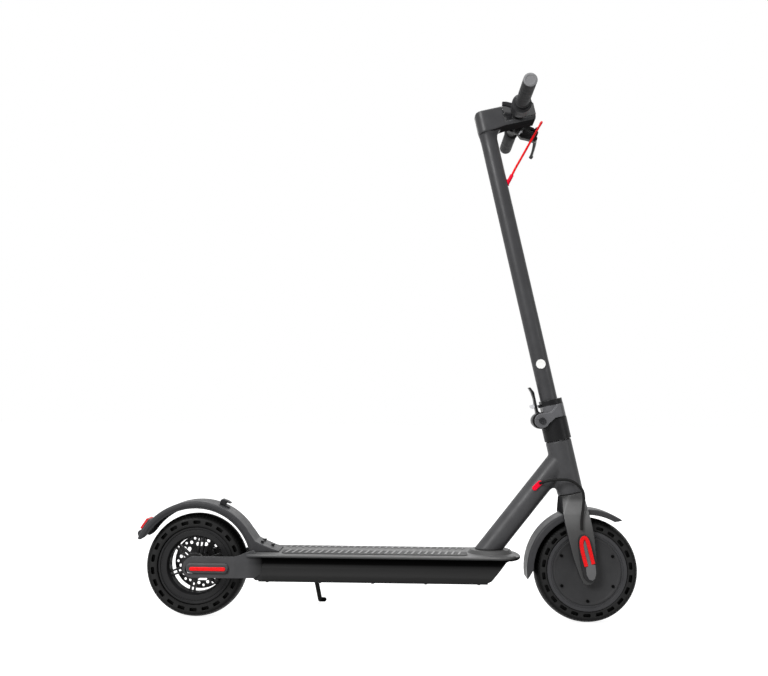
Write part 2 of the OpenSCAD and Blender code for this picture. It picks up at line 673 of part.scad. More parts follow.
module kickstand_bracket() color([0.12, 0.12, 0.12]) {
    under = deck_low - cover_t - axle_z - stand_pivot[2];
    at_rear() translate(stand_pivot) difference() {
        rotate([90, 0, 90]) translate([0, 0, -13]) linear_extrude(26)
            polygon([[-16, under], [9, under], [9, -3], [4, -2]]);
        rotate([-stand_lean, 0, 0]) translate([-20, -30, -40]) cube([40, 70, 40 + stand_eye/2 + 0.2]);
    }
    // Bolt that the stand swings on
    at_stand() {
        translate([0, 0, -stand_eye/2 - 4]) cylinder(d = stand_bolt_d, h = stand_eye + 6);
        translate([0, 0, -stand_eye/2 - 4]) cylinder(d = 13, h = 3.8, $fn = 6);
    }
}

module kickstand() color([0.08, 0.08, 0.08]) at_stand() difference() {
    union() {
        translate([0, 0, -stand_eye/2]) cylinder(d = 20, h = stand_eye);
        rod([0, 6, 0], [0, stand_l, 0], stand_d);
        translate([0, stand_l, 0]) sphere(d = stand_d);
        rod([0, stand_l, 0], [10, stand_l, 0], stand_d);
        translate([10, stand_l, 0]) sphere(d = stand_d);
    }
    translate([0, 0, -stand_eye]) cylinder(d = stand_bolt_d + 2*fit, h = 2*stand_eye);
}

// ---------------------------------------------------------------- fork and front wheel

// Outline of a fork leg from the side, from the front axle
leg_outline = [[-51, 118], [-47.4, 97], [-42.3, 75], [-38.4, 57], [-31.3, 29], [-21.5, 0], [-17, -12],
    [-11.3, -22], [-3.6, -26], [4, -24], [10.8, -19], [14.9, -6], [16.6, 26], [13.1, 68], [10.3, 86],
    [5.3, 110], [3, 118]];
module fork() color([0.3, 0.3, 0.31]) difference() {
    union() {
        both_sides() at_front() plate(leg_in, leg_out) polygon(leg_outline);
        hull() {
            steer() translate([0, 0, head_tube_low - seam - 12]) cylinder(r = crown_r, h = 12, $fn = 48);
            both_sides() at_front() plate(leg_in, leg_out) polygon([[-51, 117.5], [-50, 112],
                [4.5, 112], [3, 117.5]]);
        }
        steer() translate([0, 0, head_tube_low - 12]) cylinder(d = steerer_d, h = s_part - 20 - head_tube_low);
    }
    at_front() translate([fender_ahead, 0, 0]) lateral(2*(front_fender_r + fit), -leg_in, leg_in);
    steer() translate([0, 0, head_tube_low - 60]) cylinder(d = steerer_d - 2*steerer_wall, h = 300);
    at_front() lateral(axle_d + 2*fit, -leg_out - 1, leg_out + 1);
}

module front_fender() color([0.28, 0.28, 0.29]) at_front() translate([fender_ahead, 0, 0]) difference() {
    w = front_fender_w/2;
    r = front_fender_r;
    t = fender_t;
    section = [[r - t, t - w], [r - t, w - t], [0, w - t], [0, w], [r - 2, w], [r, w - 4], [r, 4 - w],
        [r - 2, -w], [0, -w], [0, t - w]];
    union() {
        ring_y(55, 95) polygon([for (p = section) [max(p[0], r - 12), p[1]]]);
        ring_y(94.9, 189) polygon([for (p = section) [max(p[0], r - 14.5), p[1]]]);
    }
    // Points at the front and rear ends
    plate(-w - 1, w + 1) polygon([polar(r - 15, 63), polar(r + 1, 54.5), polar(r - 15, 54)]);
    plate(-w - 1, w + 1) polygon([polar(r - 20, 174), polar(r + 1, 189.2), polar(r - 20, 190)]);
}

// Outline of the raised cover on each fork leg
module leg_cover_side() polygon([[-24.8, 75], [-22.5, 45], [-16.4, 14], [-13, 0], [-11.5, -10],
    [-5.1, -17], [2, -19], [9.1, -17], [13.2, -5], [16.3, 28], [14, 46], [11, 70], [6, 80], [-4, 85],
    [-16, 84]]);
module fork_leg_covers() color([0.33, 0.33, 0.34]) both_sides() at_front() difference() {
    plate(leg_out, leg_out + leg_cover_t) leg_cover_side();
    lateral(nut_d + 2, leg_out - 1, leg_out + leg_cover_t - 1.2);
}
module fork_reflectors() color([0.9, 0.1, 0.12]) both_sides() at_front()
    plate(leg_out + leg_cover_t, leg_out + leg_cover_t + leg_mark_t)
        polygon(ribbon([[-6.5, 13.5], [-13.6, 41], [-16.3, 61], [-14.4, 69], [-9.5, 72], [-4.3, 67.5],
            [-1, 55.5], [7.6, 18.5]], [8.5, 8.5, 8.5, 8, 8, 8, 8.5, 8.5]));

module front_axle() color([0.6, 0.6, 0.62]) at_front() {
    lateral(axle_d, -leg_out - 5, leg_out + 5);
    lateral(journal_d, -leg_in, leg_in);
    both_sides() translate([0, leg_out, 0]) rotate([-90, 0, 0]) cylinder(d = nut_d, h = 5, $fn = 6);
}

module motor_stator() color([0.6, 0.35, 0.15]) at_front() difference() {
    r = drum_r - stator_gap;
    lateral(2*r, -14, 14);
    lateral(journal_d + 2*fit, -15, 15);
    // Slots between the teeth, which hold the windings
    for (k = [0:17]) rotate([0, 20*k, 0]) translate([r - 18, -15, -1.5]) cube([20, 30, 3]);
    both_sides() ring_y() translate([journal_d/2 + 4, 8]) square([r - journal_d/2 - 26, 8]);
}

module cover_bolt_places() for (a = [30:60:330]) rotate([0, -a, 0]) translate([motor_d/2 - 21.5, 0, 0])
    children();

module motor_hub() color([0.25, 0.25, 0.26]) at_front() difference() {
    r = motor_d/2;
    h = motor_w/2;
    flange = r - 26.5;
    // Radius and Y, with the open side towards the right of the scooter
    rotate([-90, 0, 0]) rotate_extrude($fn = 120) polygon([[r, -h], [r, drum_lip - h], [r - 2.5, drum_lip + 3 - h],
        [r - 2.5, h - drum_lip - 3], [r, h - drum_lip], [r, h], [r - 7, h], [r - 7.5, h - 2], [r - 11, h - 2],
        [r - 11.5, h - 0.5], [40, h + 0.5], [journal_d/2 + fit, h + 0.5], [journal_d/2 + fit, h - drum_wall],
        [drum_r, h - drum_wall], [drum_r, seat_depth + 4 - h], [flange, seat_depth + 4 - h],
        [flange, seat_depth - h], [cover_r + gap, seat_depth - h], [cover_r + gap, 2 - h],
        [r - 7.5, 2 - h], [r - 7, -h]]);
    cover_bolt_places() lateral(4 + 2*fit, -h, seat_depth + 5 - h);
}
module motor_cover() color([0.27, 0.27, 0.28]) at_front() difference() {
    h = motor_w/2;
    union() {
        lateral(2*cover_r, -h + 0.8, seat_depth - h);
        lateral(2*(cover_r - 4), -h, seat_depth - h);
    }
    lateral(journal_d + 2*fit, -h - 1, seat_depth - h + 1);
    cover_bolt_places() lateral(4 + 2*fit, -h - 1, seat_depth - h + 1);
}
module motor_cover_screws() color([0.2, 0.2, 0.2]) at_front() cover_bolt_places() {
    h = motor_w/2;
    lateral(4, -h - 1, seat_depth + 3 - h);
    lateral(6.4, -h - 1.4, -h);
}

// ---------------------------------------------------------------- folding joint

// Room that the latch hub and the ears turn in
module hinge_room(ears = true) at_hinge() {
    lateral(lever_hub_d + 1, -lever_hub_w/2 - gap, lever_hub_w/2 + gap);
    if (ears) both_sides() lateral(ear_d + 0.6, ear_y0 - gap, ear_y1 + gap);
}

module folding_base() color([0.12, 0.12, 0.13]) difference() {
    union() {
        steer() translate([0, 0, s_base]) cylinder(d = fold_base_d, h = fold_base_h);
        both_sides() at_hinge() lateral(ear_d, ear_y0, ear_y1);
        both_sides() at_hinge() plate(ear_y0, ear_y1) polygon([[-ear_d/2 + 1.5, -5], [0, -18],
            [16, -24], [16, -0.5], [0, -0.5]]);
    }
    hinge_room(false);
    steer() translate([0, 0, s_base - 1]) cylinder(d = steerer_d + 2*fit, h = fold_base_h + 2);
    both_sides() at_hinge() lateral(hinge_pin_d + 2*fit, ear_y0 - 1, ear_y1 + 1);
}

module stem_collar() color([0.36, 0.36, 0.37]) {
    difference() {
        union() {
            intersection() {
                steer() translate([0, 0, s_collar]) cylinder(d = collar_d, h = collar_h);
                steer() translate([-collar_back, -50, s_part]) cube([100, 100, 60]);
            }
            // Arms that reach back to the pin
            both_sides() steer() plate(collar_d/2 - 6, lug_y1) polygon([[-12, s_collar], [-4, s_collar + 13],
                [12, s_ring], [16, s_ring], [16, s_collar]]);
            both_sides() steer() plate(lug_y0, lug_y1) polygon([[-hinge_back, s_part + lug_d/2],
                [-4, s_part + 13.4], [12, s_ring], [16, s_ring], [16, s_collar + 1], [2.4, s_collar + 1],
                [-22.8, s_part - 13], [-hinge_back, s_part - lug_d/2]]);
            both_sides() at_hinge() lateral(lug_d, lug_y0, lug_y1);
            intersection() {
                steer() translate([0, 0, s_ring - 0.5]) cylinder(d = collar_d - 1, h = ring_h + 0.5);
                steer() translate([-collar_back, -50, s_part]) cube([100, 100, 60]);
            }
            // Catch for the lever's lock
            steer() translate([-collar_back - 6, -4, s_ring - 1]) cube([7, 8, 7]);
        }
        hinge_room();
        steer() translate([0, 0, s_part - 1]) cylinder(d = stem_d + 2*fit, h = 80);
        both_sides() at_hinge() lateral(hinge_pin_d + 2*fit, lug_y0 - 1, lug_y1 + 1);
        // Countersink of the screw at the front
        steer() translate([collar_d/2 - 3, 0, s_collar + 14]) rotate([0, 90, 0]) cylinder(d = 5, h = 6);
    }
}

module hinge_pin() color([0.5, 0.5, 0.52]) at_hinge() difference() {
    union() {
        lateral(hinge_pin_d, -lug_y1 - 1, lug_y1 + 1);
        both_sides() lateral(14, lug_y1, lug_y1 + 3.5);
    }
    both_sides() translate([0, lug_y1 + 1.5, 0]) rotate([-90, 0, 0]) cylinder(d = 7, h = 3, $fn = 6);
}

module folding_lever() color([0.1, 0.1, 0.1]) at_hinge() difference() {
    union() {
        lateral(lever_hub_d, -lever_hub_w/2, lever_hub_w/2);
        plate(-9, 9) polygon([[-17.2, 2], [-5.4, 15], [-4.8, 35], [-4, 48], [-5.4, 63], [-9.2, 74],
            [-5.1, 74.2], [0.8, 62], [0.4, 39], [0.4, 20], [8, 14], [0, 0]]);
    }
    lateral(hinge_pin_d + 2*fit, -20, 20);
    // Guide of the lock
    translate([-10, 0, lock_s]) rotate([0, 90, 0]) cylinder(d = lock_pin_d + 2*fit, h = 14);
}
lock_s = 32.8;
lock_pin_d = 5;
module lock_plunger() color([0.7, 0.7, 0.72]) at_hinge() translate([0, 0, lock_s]) {
    tip = hinge_back - collar_back - 6 - gap;
    translate([-9, 0, 0]) rotate([0, 90, 0]) cylinder(d = lock_pin_d, h = 9 + tip);
    translate([-9.7, 0, 0]) lateral(9.4, -7, 7);
}

// ---------------------------------------------------------------- stem and head

// Outline of the head along the steering axis, round at the back
module head_plan() polygon(concat([[head_a1 + 1, -head_w/2], [head_a1 + 1, head_w/2]],
    [for (a = [90:7.5:270]) [head_rear + head_round + head_round*cos(a),
        (head_w/2 - head_round)*sign(sin(a)) + head_round*sin(a)]]));
module stem_tube() color([0.2, 0.2, 0.21]) difference() {
    union() {
        steer() translate([0, 0, s_collar]) cylinder(d = stem_d, h = head_s0 + 8 - s_collar);
        // Head casting: upright back, and a cradle under the dash
        steer() intersection() {
            plate(-head_w, head_w) polygon([[head_rear, head_s0 - 4], [head_rear, head_s1 - 4],
                [head_rear + 4, head_s1], [pod_a0 - gap, head_s1], [pod_a0 - gap, pod_s0],
                [head_a1 - 1, pod_s0], [head_a1, pod_s0 - 2], [head_a1 - 3, head_s0],
                [pod_a0 - 2, head_s0], [16, head_s0 - 3]]);
            translate([0, 0, head_s0 - 10]) linear_extrude(head_above + head_below + 20) head_plan();
        }
        // Blend under the head
        steer() plate(-stem_d/2 + 6, stem_d/2 - 6) polygon(concat([[0, head_s0 + 1]],
            [for (a = [90:15:180]) [stem_d/2 - 0.5 + 20 + 20*cos(a), head_s0 - 20 + 20*sin(a)]],
            [[0, head_s0 - 20]]));
        steer() translate([0, 0, head_s0 - 22]) cylinder(d1 = stem_d, d2 = -2*head_rear, h = 22);
    }
    steer() translate([0, 0, s_part - 1]) cylinder(d = stem_d - 2*stem_wall, h = head_s0 - 10 - s_part);
    hinge_room();
    at_bar() lateral(bar_d + 2*fit, -head_w, head_w);
}

module dash_housing() color([0.07, 0.07, 0.08]) difference() {
    steer() plate(-head_w/2, head_w/2) polygon([[pod_a0, pod_s0], [head_a1, pod_s0],
        [head_a1, head_s1 - 9], [head_a1 - 6, head_s1], [pod_a0, head_s1]]);
    at_bar() lateral(bar_d + 2*fit, -head_w, head_w);
    // Recess of the display, with a well for the button
    steer() translate([pod_a0 + 6, -head_w/2 + 5, head_s1 - 1.5]) cube([54, head_w - 10, 3]);
    steer() translate([pod_a0 + 14, 0, head_s1 - 7]) cylinder(d = 14 + 2*gap, h = 10);
    // Pocket of the headlight
    steer() translate([head_a1 - 7, 0, lamp_s]) rotate([0, 90, 0]) cylinder(d = lamp_d + 2*fit, h = 10);
}

module dash_display() color([0.05, 0.07, 0.1]) steer() difference() {
    translate([pod_a0 + 6 + fit, -head_w/2 + 5 + fit, head_s1 - 1.5]) cube([54 - 2*fit, head_w - 10 - 2*fit, 1.5]);
    translate([pod_a0 + 14, 0, head_s1 - 3]) cylinder(d = 14 + 2*gap, h = 10);
}

module power_button() color([0.5, 0.5, 0.52]) steer() translate([pod_a0 + 14, 0, head_s1 - 4])
    cylinder(d = 14, h = 5);

module headlight() color([0.85, 0.87, 0.9]) steer() translate([head_a1 - 7, 0, lamp_s])
    rotate([0, 90, 0]) cylinder(d = lamp_d, h = 8);

module handlebar() color([0.15, 0.15, 0.16]) at_bar() difference() {
    lateral(bar_d, -bar_length/2 + 2, bar_length/2 - 2);
    lateral(bar_d - 4.4, -bar_length/2, bar_length/2);
}

module grips() color([0.16, 0.16, 0.16]) both_sides() at_bar() difference() {
    y1 = bar_length/2 - 2;
    y0 = y1 - grip_l;
    union() {
        lateral(grip_d - 1.2, y0, y1);
        lateral(grip_d + 3, y0, y0 + 3);
        // Raised bands
        for (i = [0:12]) translate([0, y0 + 6 + i*(grip_l - 9)/13, 0]) lateral(grip_d, 0, (grip_l - 9)/13 - 2);
    }
    lateral(bar_d + 2*fit, y0 - 1, y1 + 1);
}
module grip_caps() color([0.48, 0.48, 0.49]) both_sides() at_bar() {
    lateral(grip_d, bar_length/2 - 2, bar_length/2);
    lateral(bar_d - 4.4 - 2*fit, bar_length/2 - 12, bar_length/2 - 1);
}

module throttle_housing() color([0.1, 0.1, 0.11]) at_bar() mirror([0, 1, 0]) difference() {
    union() {
        lateral(42, throttle_y0, throttle_y1 - 4);
        lateral(36, throttle_y0, throttle_y1);
    }
    lateral(bar_d + 2*fit, throttle_y0 - 1, throttle_y1 + 1);
}
module throttle_paddle() color([0.13, 0.13, 0.14]) at_bar() mirror([0, 1, 0]) difference() {
    y0 = throttle_y0 - gap - 9;
    y1 = throttle_y0 - gap;
    union() {
        lateral(32, y0, y1);
        plate(y0, y1) polygon(ribbon([[-8, 3], [-20, 9], [-30, 12], [-38, 12]], [14, 9, 8, 8]));
    }
    lateral(bar_d + 2*fit, y0 - 1, y1 + 1);
}

module brake_lever_bracket() color([0.1, 0.1, 0.11]) {
    difference() {
        union() {
            at_bar() lateral(control_d, bracket_y0, bracket_y1);
            at_bar() plate(bracket_y0, bracket_y1 - 2) polygon([[6, 8], [16, 6], [44, -4], [56, -14],
                [53, -33], [48, -37], [30, -31], [16, -28], [4, -12]]);
            at_lever() translate([-20, -8, -9]) cube([27, 16, 18]);
            at_bar() rod(barrel_from, barrel_to, 8);
        }
        at_bar() lateral(bar_d + 2*fit, bracket_y0 - 1, bracket_y1 + 1);
        // Room for the lever's eye
        at_lever() translate([-8.5, -20, -lever_t/2 - gap]) cube([50, 40, lever_t + 2*gap]);
    }
    // Pin that the lever swings on
    at_lever() translate([0, 0, -8.5]) cylinder(d = lever_pin_d, h = 17);
}
module brake_lever() color([0.1, 0.1, 0.11]) at_lever() difference() {
    translate([0, 0, -lever_t/2]) {
        cylinder(d = 14, h = lever_t);
        linear_extrude(lever_t) polygon(ribbon([[0, 0], [9, 8], [14, 20], [18, 40], [21, 62],
            [23.5, 90]], [13, 10, 7, 6, 5.5, 5.5]));
        translate([24, 92, 0]) cylinder(d = 9, h = lever_t);
    }
    translate([0, 0, -10]) cylinder(d = lever_pin_d + 2*fit, h = 20);
}

module brake_cable() color([0.91, 0.08, 0.1]) at_bar() {
    v = barrel_to - barrel_from;
    u = v/norm(v);
    // Free end of the strain relief, seen from the handlebar's centre
    a = relief_foot[0] - 3 + (relief_l + 4 + fit)*sin(relief_angle) - bar_forward;
    s = relief_foot[1] - 3.5 + (relief_l + 4 + fit)*cos(relief_angle) - bar_height;
    foot = [a*cos(steer_tilt) - s*sin(steer_tilt), 0, a*sin(steer_tilt) + s*cos(steer_tilt)];
    cable(smooth(concat([foot], brake_route, [barrel_to + 5*u, barrel_to + gap*u]), 3), cable_d, 8);
}

module stem_grommet() color([0.95, 0.05, 0.2]) difference() {
    steer() union() {
        translate([stem_d/2 - 4, 0, relief_foot[1]]) rotate([0, 90, 0]) cylinder(d = 15, h = 6.5);
        translate([relief_foot[0] - 3, 0, relief_foot[1] - 3.5]) rotate([0, relief_angle, 0])
            cylinder(d = 8.4, h = relief_l + 4);
    }
    steer() translate([0, 0, relief_foot[1] - 60]) cylinder(d = stem_d + 2*fit, h = 120);
}

module stem_reflector() color([0.92, 0.92, 0.9]) steer() difference() {
    translate([-2.2, -stem_d/2 - 1.2, 442]) rotate([-90, 0, 0]) cylinder(d = 20, h = 12);
    translate([0, 0, 400]) cylinder(d = stem_d + 2*fit, h = 80);
}

module bell_housing() color([0.12, 0.12, 0.12]) at_bar() difference() {
    union() {
        lateral(28, bell_y0, bell_y1);
        translate([0, (bell_y0 + bell_y1)/2, 0]) rotate([0, 150, 0]) {
            cylinder(d = 12, h = 18);
            translate([0, 0, 15]) cylinder(d = 24, h = 6);
            translate([0, 0, 21]) cylinder(d1 = 24, d2 = 16, h = 4);
            translate([0, 0, 20]) cylinder(d = bell_pin_d, h = 8);
        }
    }
    lateral(bar_d + 2*fit, bell_y0 - 1, bell_y1 + 1);
}
module bell_lever() color([0.5, 0.5, 0.52]) at_bar() translate([0, (bell_y0 + bell_y1)/2, 0])
    rotate([0, 150, 0]) translate([0, 0, 25 + gap]) difference() {
        union() {
            cylinder(d = 9, h = 2);
            linear_extrude(2) polygon(ribbon([[0, 0], [0, -17]], [8, 5]));
        }
        translate([0, 0, -1]) cylinder(d = bell_pin_d + 2*fit, h = 4);
    }

module cable_grommet() color([0.95, 0.05, 0.2]) difference() {
    at_front() slot_y([-107.5, 169.5], [-96, 180.5], 10, -down_tube_d/2 - 3, -down_tube_d/2 + 14);
    steer() translate([0, 0, tube_join]) rotate([0, steer_tilt - 90 - down_tube_rise, 0])
        cylinder(d = down_tube_d + 2*fit, h = tube_reach);
}

module motor_cable() color([0.06, 0.06, 0.06]) at_front() cable(smooth(motor_route, 3), motor_cable_d, 8);

deck_frame();
front_frame();
deck_mat();
bottom_cover();
bottom_cover_screws();
battery_pack();
motor_controller();
headset_bearings();
rear_fender();
fender_screws();
fender_hook();
tail_light();
rear_arm_covers();
rear_reflectors();
rear_axle();
brake_caliper();
rear_brake_cable();
kickstand_bracket();
cable_grommet();
motor_cable();
charge_cap();
kickstand();
caliper_arm();
rear_tyre();
rear_rim();
brake_disc();
disc_screws();
rear_bearings();
fork();
folding_base();
front_fender();
fork_leg_covers();
fork_reflectors();
front_axle();
motor_stator();
front_tyre();
motor_hub();
motor_cover();
motor_cover_screws();
stem_tube();
stem_collar();
hinge_pin();
handlebar();
grips();
grip_caps();
dash_housing();
dash_display();
headlight();
throttle_housing();
brake_lever_bracket();
brake_cable();
stem_grommet();
stem_reflector();
bell_housing();
folding_lever();
lock_plunger();
throttle_paddle();
brake_lever();
bell_lever();
power_button();
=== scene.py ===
import json
from math import sin, cos, pi, radians, degrees, atan2, hypot
import bpy
from mathutils import Matrix, Vector


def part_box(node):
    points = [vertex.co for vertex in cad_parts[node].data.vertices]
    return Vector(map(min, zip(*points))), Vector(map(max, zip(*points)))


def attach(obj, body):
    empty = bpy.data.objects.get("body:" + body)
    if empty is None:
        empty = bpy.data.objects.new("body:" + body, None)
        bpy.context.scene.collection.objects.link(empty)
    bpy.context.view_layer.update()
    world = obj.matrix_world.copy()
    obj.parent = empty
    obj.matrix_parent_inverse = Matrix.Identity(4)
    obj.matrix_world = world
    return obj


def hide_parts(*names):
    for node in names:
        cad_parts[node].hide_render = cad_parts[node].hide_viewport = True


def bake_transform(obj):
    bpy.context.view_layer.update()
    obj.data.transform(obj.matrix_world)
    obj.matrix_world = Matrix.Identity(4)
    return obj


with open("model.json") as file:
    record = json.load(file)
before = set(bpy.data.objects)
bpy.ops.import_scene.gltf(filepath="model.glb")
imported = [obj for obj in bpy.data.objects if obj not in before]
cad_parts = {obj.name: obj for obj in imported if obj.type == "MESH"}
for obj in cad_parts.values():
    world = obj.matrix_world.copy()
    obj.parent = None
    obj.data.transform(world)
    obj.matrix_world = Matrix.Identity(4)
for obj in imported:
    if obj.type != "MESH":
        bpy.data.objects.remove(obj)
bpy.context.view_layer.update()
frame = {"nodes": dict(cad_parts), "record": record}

node = frame["nodes"]
scene = bpy.context.scene
scene.view_settings.view_transform = "Standard"


# Camera. A near-side view of the whole scooter, from a little above the deck and tipped up
# slightly towards the handlebar.
def place_camera():
    turn, tip, roll = 0.0305847, 0.0904239, 0.0080421
    focal_length, standpoint = 39.297, Vector((0.0482, -1.8172, 0.4301))
    forward = Vector((-sin(turn)*cos(tip), cos(turn)*cos(tip), sin(tip)))
    right = Vector((cos(turn), sin(turn), 0))
    up = right.cross(forward)
    across = right*cos(roll) + up*sin(roll)
    upright = up*cos(roll) - right*sin(roll)
    data = bpy.data.cameras.new("camera")
    data.sensor_width = 36
    data.lens = focal_length
    data.clip_end = 60
    camera = bpy.data.objects.new("camera", data)
    camera.matrix_world = Matrix((across, upright, -forward)).transposed().to_4x4()
    camera.matrix_world.translation = standpoint
    scene.collection.objects.link(camera)
    scene.camera = camera


place_camera()


# Floor and light. A pale studio floor that runs out of sight, a white surround and large soft
# lamps above, in front and behind.
def deselect_all():
    if bpy.context.mode != "OBJECT":
        bpy.ops.object.mode_set(mode="OBJECT")
    bpy.ops.object.select_all(action="DESELECT")


def seen_or_mirrored(n, l):
    """1 where a surface is seen straight, in a reflection or through glass, and 0 where it gives light."""
    path = n.new("ShaderNodeLightPath")
    last = path.outputs["Is Camera Ray"]
    for name in ("Is Glossy Ray", "Is Transmission Ray"):
        either = n.new("ShaderNodeMath")
        either.operation = "MAXIMUM"
        l.new(last, either.inputs[0])
        l.new(path.outputs[name], either.inputs[1])
        last = either.outputs[0]
    return last


def stretch(n, l, value, start, end, low=0.0, high=1.0):
    """Maps a value that runs from start to end on to low to high."""
    span = n.new("ShaderNodeMapRange")
    for socket, number in (("From Min", start), ("From Max", end), ("To Min", low), ("To Max", high)):
        span.inputs[socket].default_value = number
    l.new(value, span.inputs["Value"])
    return span.outputs["Result"]


def lay_floor():
    """A pale floor that turns white where it runs away from the scooter."""
    floor_size, under_the_tyres = 60, 0.0006
    near, far = 0.75, 1.5
    deselect_all()
    bpy.ops.mesh.primitive_plane_add(size=floor_size, location=(0, 0, -under_the_tyres))
    floor = bpy.context.object
    floor.name = "studio_floor"
    m = bpy.data.materials.new("floor_white")
    m.use_nodes = True
    n, l = m.node_tree.nodes, m.node_tree.links
    n.clear()
    out = n.new("ShaderNodeOutputMaterial")
    diffuse = n.new("ShaderNodeBsdfDiffuse")
    diffuse.inputs["Color"].default_value = (0.4, 0.4, 0.4, 1)
    glow = n.new("ShaderNodeEmission")
    glow.inputs["Color"].default_value = (1, 1, 1, 1)
    place = n.new("ShaderNodeTexCoord")
    reach = n.new("ShaderNodeVectorMath")
    reach.operation = "LENGTH"
    l.new(place.outputs["Object"], reach.inputs[0])
    whiteness = stretch(n, l, reach.outputs["Value"], near, far, 0.9, 1.0)
    lift = n.new("ShaderNodeMath")
    lift.operation = "MULTIPLY"
    add = n.new("ShaderNodeAddShader")
    l.new(whiteness, lift.inputs[1])
    l.new(seen_or_mirrored(n, l), lift.inputs[0])
    l.new(lift.outputs[0], glow.inputs["Strength"])
    l.new(diffuse.outputs[0], add.inputs[0])
    l.new(glow.outputs[0], add.inputs[1])
    l.new(add.outputs[0], out.inputs["Surface"])
    floor.data.materials.append(m)


def light_studio():
    world = bpy.data.worlds.new("studio")
    scene.world = world
    world.use_nodes = True
    n, l = world.node_tree.nodes, world.node_tree.links
    n.clear()
    out = n.new("ShaderNodeOutputWorld")
    dim = n.new("ShaderNodeBackground")
    dim.inputs["Color"].default_value = (1, 1, 1, 1)
    dim.inputs["Strength"].default_value = 0.2
    white = n.new("ShaderNodeBackground")
    white.inputs["Color"].default_value = (1, 1, 1, 1)
    mix = n.new("ShaderNodeMixShader")
    l.new(seen_or_mirrored(n, l), mix.inputs[0])
    l.new(dim.outputs[0], mix.inputs[1])
    l.new(white.outputs[0], mix.inputs[2])
    l.new(mix.outputs[0], out.inputs["Surface"])
    for name, place, aim, size, watts in (
            ("key", (-1.5, -2.3, 1.9), (0, 0, 0.5), 1.1, 105),
            ("top", (0.1, -0.3, 3.0), (0, 0, 0.3), 1.5, 60),
            ("fill", (2.4, -1.4, 0.9), (0.2, 0, 0.4), 0.8, 9),
            ("back", (0.4, 2.2, 2.0), (0, 0, 0.5), 1.6, 22)):
        data = bpy.data.lights.new(name, "AREA")
        data.size = size
        data.energy = watts
        lamp = bpy.data.objects.new(name, data)
        lamp.location = place
        lamp.rotation_euler = (Vector(aim) - Vector(place)).to_track_quat("-Z", "Y").to_euler()
        scene.collection.objects.link(lamp)


lay_floor()
light_studio()


# Deck body. A cast and extruded aluminium tray with two arms for the rear wheel, powder
# coated dark grey with a fine orange-peel skin.
def start_finish(name, colour, rough, metal=0.0, shine=0.22):
    m = bpy.data.materials.new(name)
    m.use_nodes = True
    n = m.node_tree.nodes
    skin = n["Principled BSDF"]
    skin.inputs["Base Color"].default_value = (*colour, 1)
    skin.inputs["Roughness"].default_value = rough
    skin.inputs["Metallic"].default_value = metal
    skin.inputs["Specular IOR Level"].default_value = shine
    return m, n, m.node_tree.links, skin


def mottle(n, l, skin, colour, spread, size):
    """Lets a colour drift a little over the surface, in patches of the given size in metres."""
    place = n.new("ShaderNodeTexCoord")
    patch = n.new("ShaderNodeTexNoise")
    patch.inputs["Scale"].default_value = 1/size
    patch.inputs["Detail"].default_value = 5
    ramp = n.new("ShaderNodeValToRGB")
    ramp.color_ramp.elements[0].position = 0.3
    ramp.color_ramp.elements[1].position = 0.7
    ramp.color_ramp.elements[0].color = (*[c*(1 - spread) for c in colour], 1)
    ramp.color_ramp.elements[1].color = (*[c*(1 + spread) for c in colour], 1)
    l.new(place.outputs["Object"], patch.inputs["Vector"])
    l.new(patch.outputs["Fac"], ramp.inputs["Fac"])
    l.new(ramp.outputs["Color"], skin.inputs["Base Color"])
    return place


def vary_roughness(n, l, skin, place, low, high, size):
    rub = n.new("ShaderNodeTexNoise")
    rub.inputs["Scale"].default_value = 1/size
    rub.inputs["Detail"].default_value = 4
    l.new(place.outputs["Object"], rub.inputs["Vector"])
    l.new(stretch(n, l, rub.outputs["Fac"], 0.3, 0.7, low, high), skin.inputs["Roughness"])


def grain(n, l, skin, place, size, depth, strength, soft_edge=0.0008):
    """Gives a skin its fine texture, and rounds its edges by soft_edge metres in the light."""
    edge = n.new("ShaderNodeBevel")
    edge.samples = 4
    edge.inputs["Radius"].default_value = soft_edge
    bumps = n.new("ShaderNodeTexNoise")
    bumps.inputs["Scale"].default_value = 1/size
    bumps.inputs["Detail"].default_value = 3
    lift = n.new("ShaderNodeBump")
    lift.inputs["Distance"].default_value = depth
    lift.inputs["Strength"].default_value = strength
    l.new(place.outputs["Object"], bumps.inputs["Vector"])
    l.new(bumps.outputs["Fac"], lift.inputs["Height"])
    l.new(edge.outputs["Normal"], lift.inputs["Normal"])
    l.new(lift.outputs["Normal"], skin.inputs["Normal"])


def powder_coat(name, colour, rough=0.42, soft_edge=0.0012, shine=0.25):
    m, n, l, skin = start_finish(name, colour, rough, 0.0, shine)
    place = mottle(n, l, skin, colour, 0.1, 0.03)
    vary_roughness(n, l, skin, place, rough - 0.05, rough + 0.08, 0.02)
    grain(n, l, skin, place, 0.0011, 0.00008, 0.4, soft_edge)
    return m


def greys_along(n, l, place, axis, stops):
    """Greys that follow a coordinate: each stop is a place in metres and its grey."""
    first, last = stops[0][0], stops[-1][0]
    split = n.new("ShaderNodeSeparateXYZ")
    ramp = n.new("ShaderNodeValToRGB")
    while len(ramp.color_ramp.elements) < len(stops):
        ramp.color_ramp.elements.new(0.5)
    for e, (at, grey) in zip(ramp.color_ramp.elements, stops):
        e.position = (at - first)/(last - first)
        e.color = (grey, grey, grey, 1)
    l.new(place.outputs["Object"], split.inputs["Vector"])
    l.new(stretch(n, l, split.outputs[axis], first, last), ramp.inputs["Fac"])
    return ramp.outputs["Color"]


def blend_colours(n, l, share, a, b):
    """Goes from colour a to colour b; either may be a plain grey."""
    mix = n.new("ShaderNodeMix")
    mix.data_type = "RGBA"
    for source, socket in ((share, 0), (a, 6), (b, 7)):
        if isinstance(source, float):
            mix.inputs[socket].default_value = (source, source, source, 1)
        else:
            l.new(source, mix.inputs[socket])
    return mix.outputs[2]


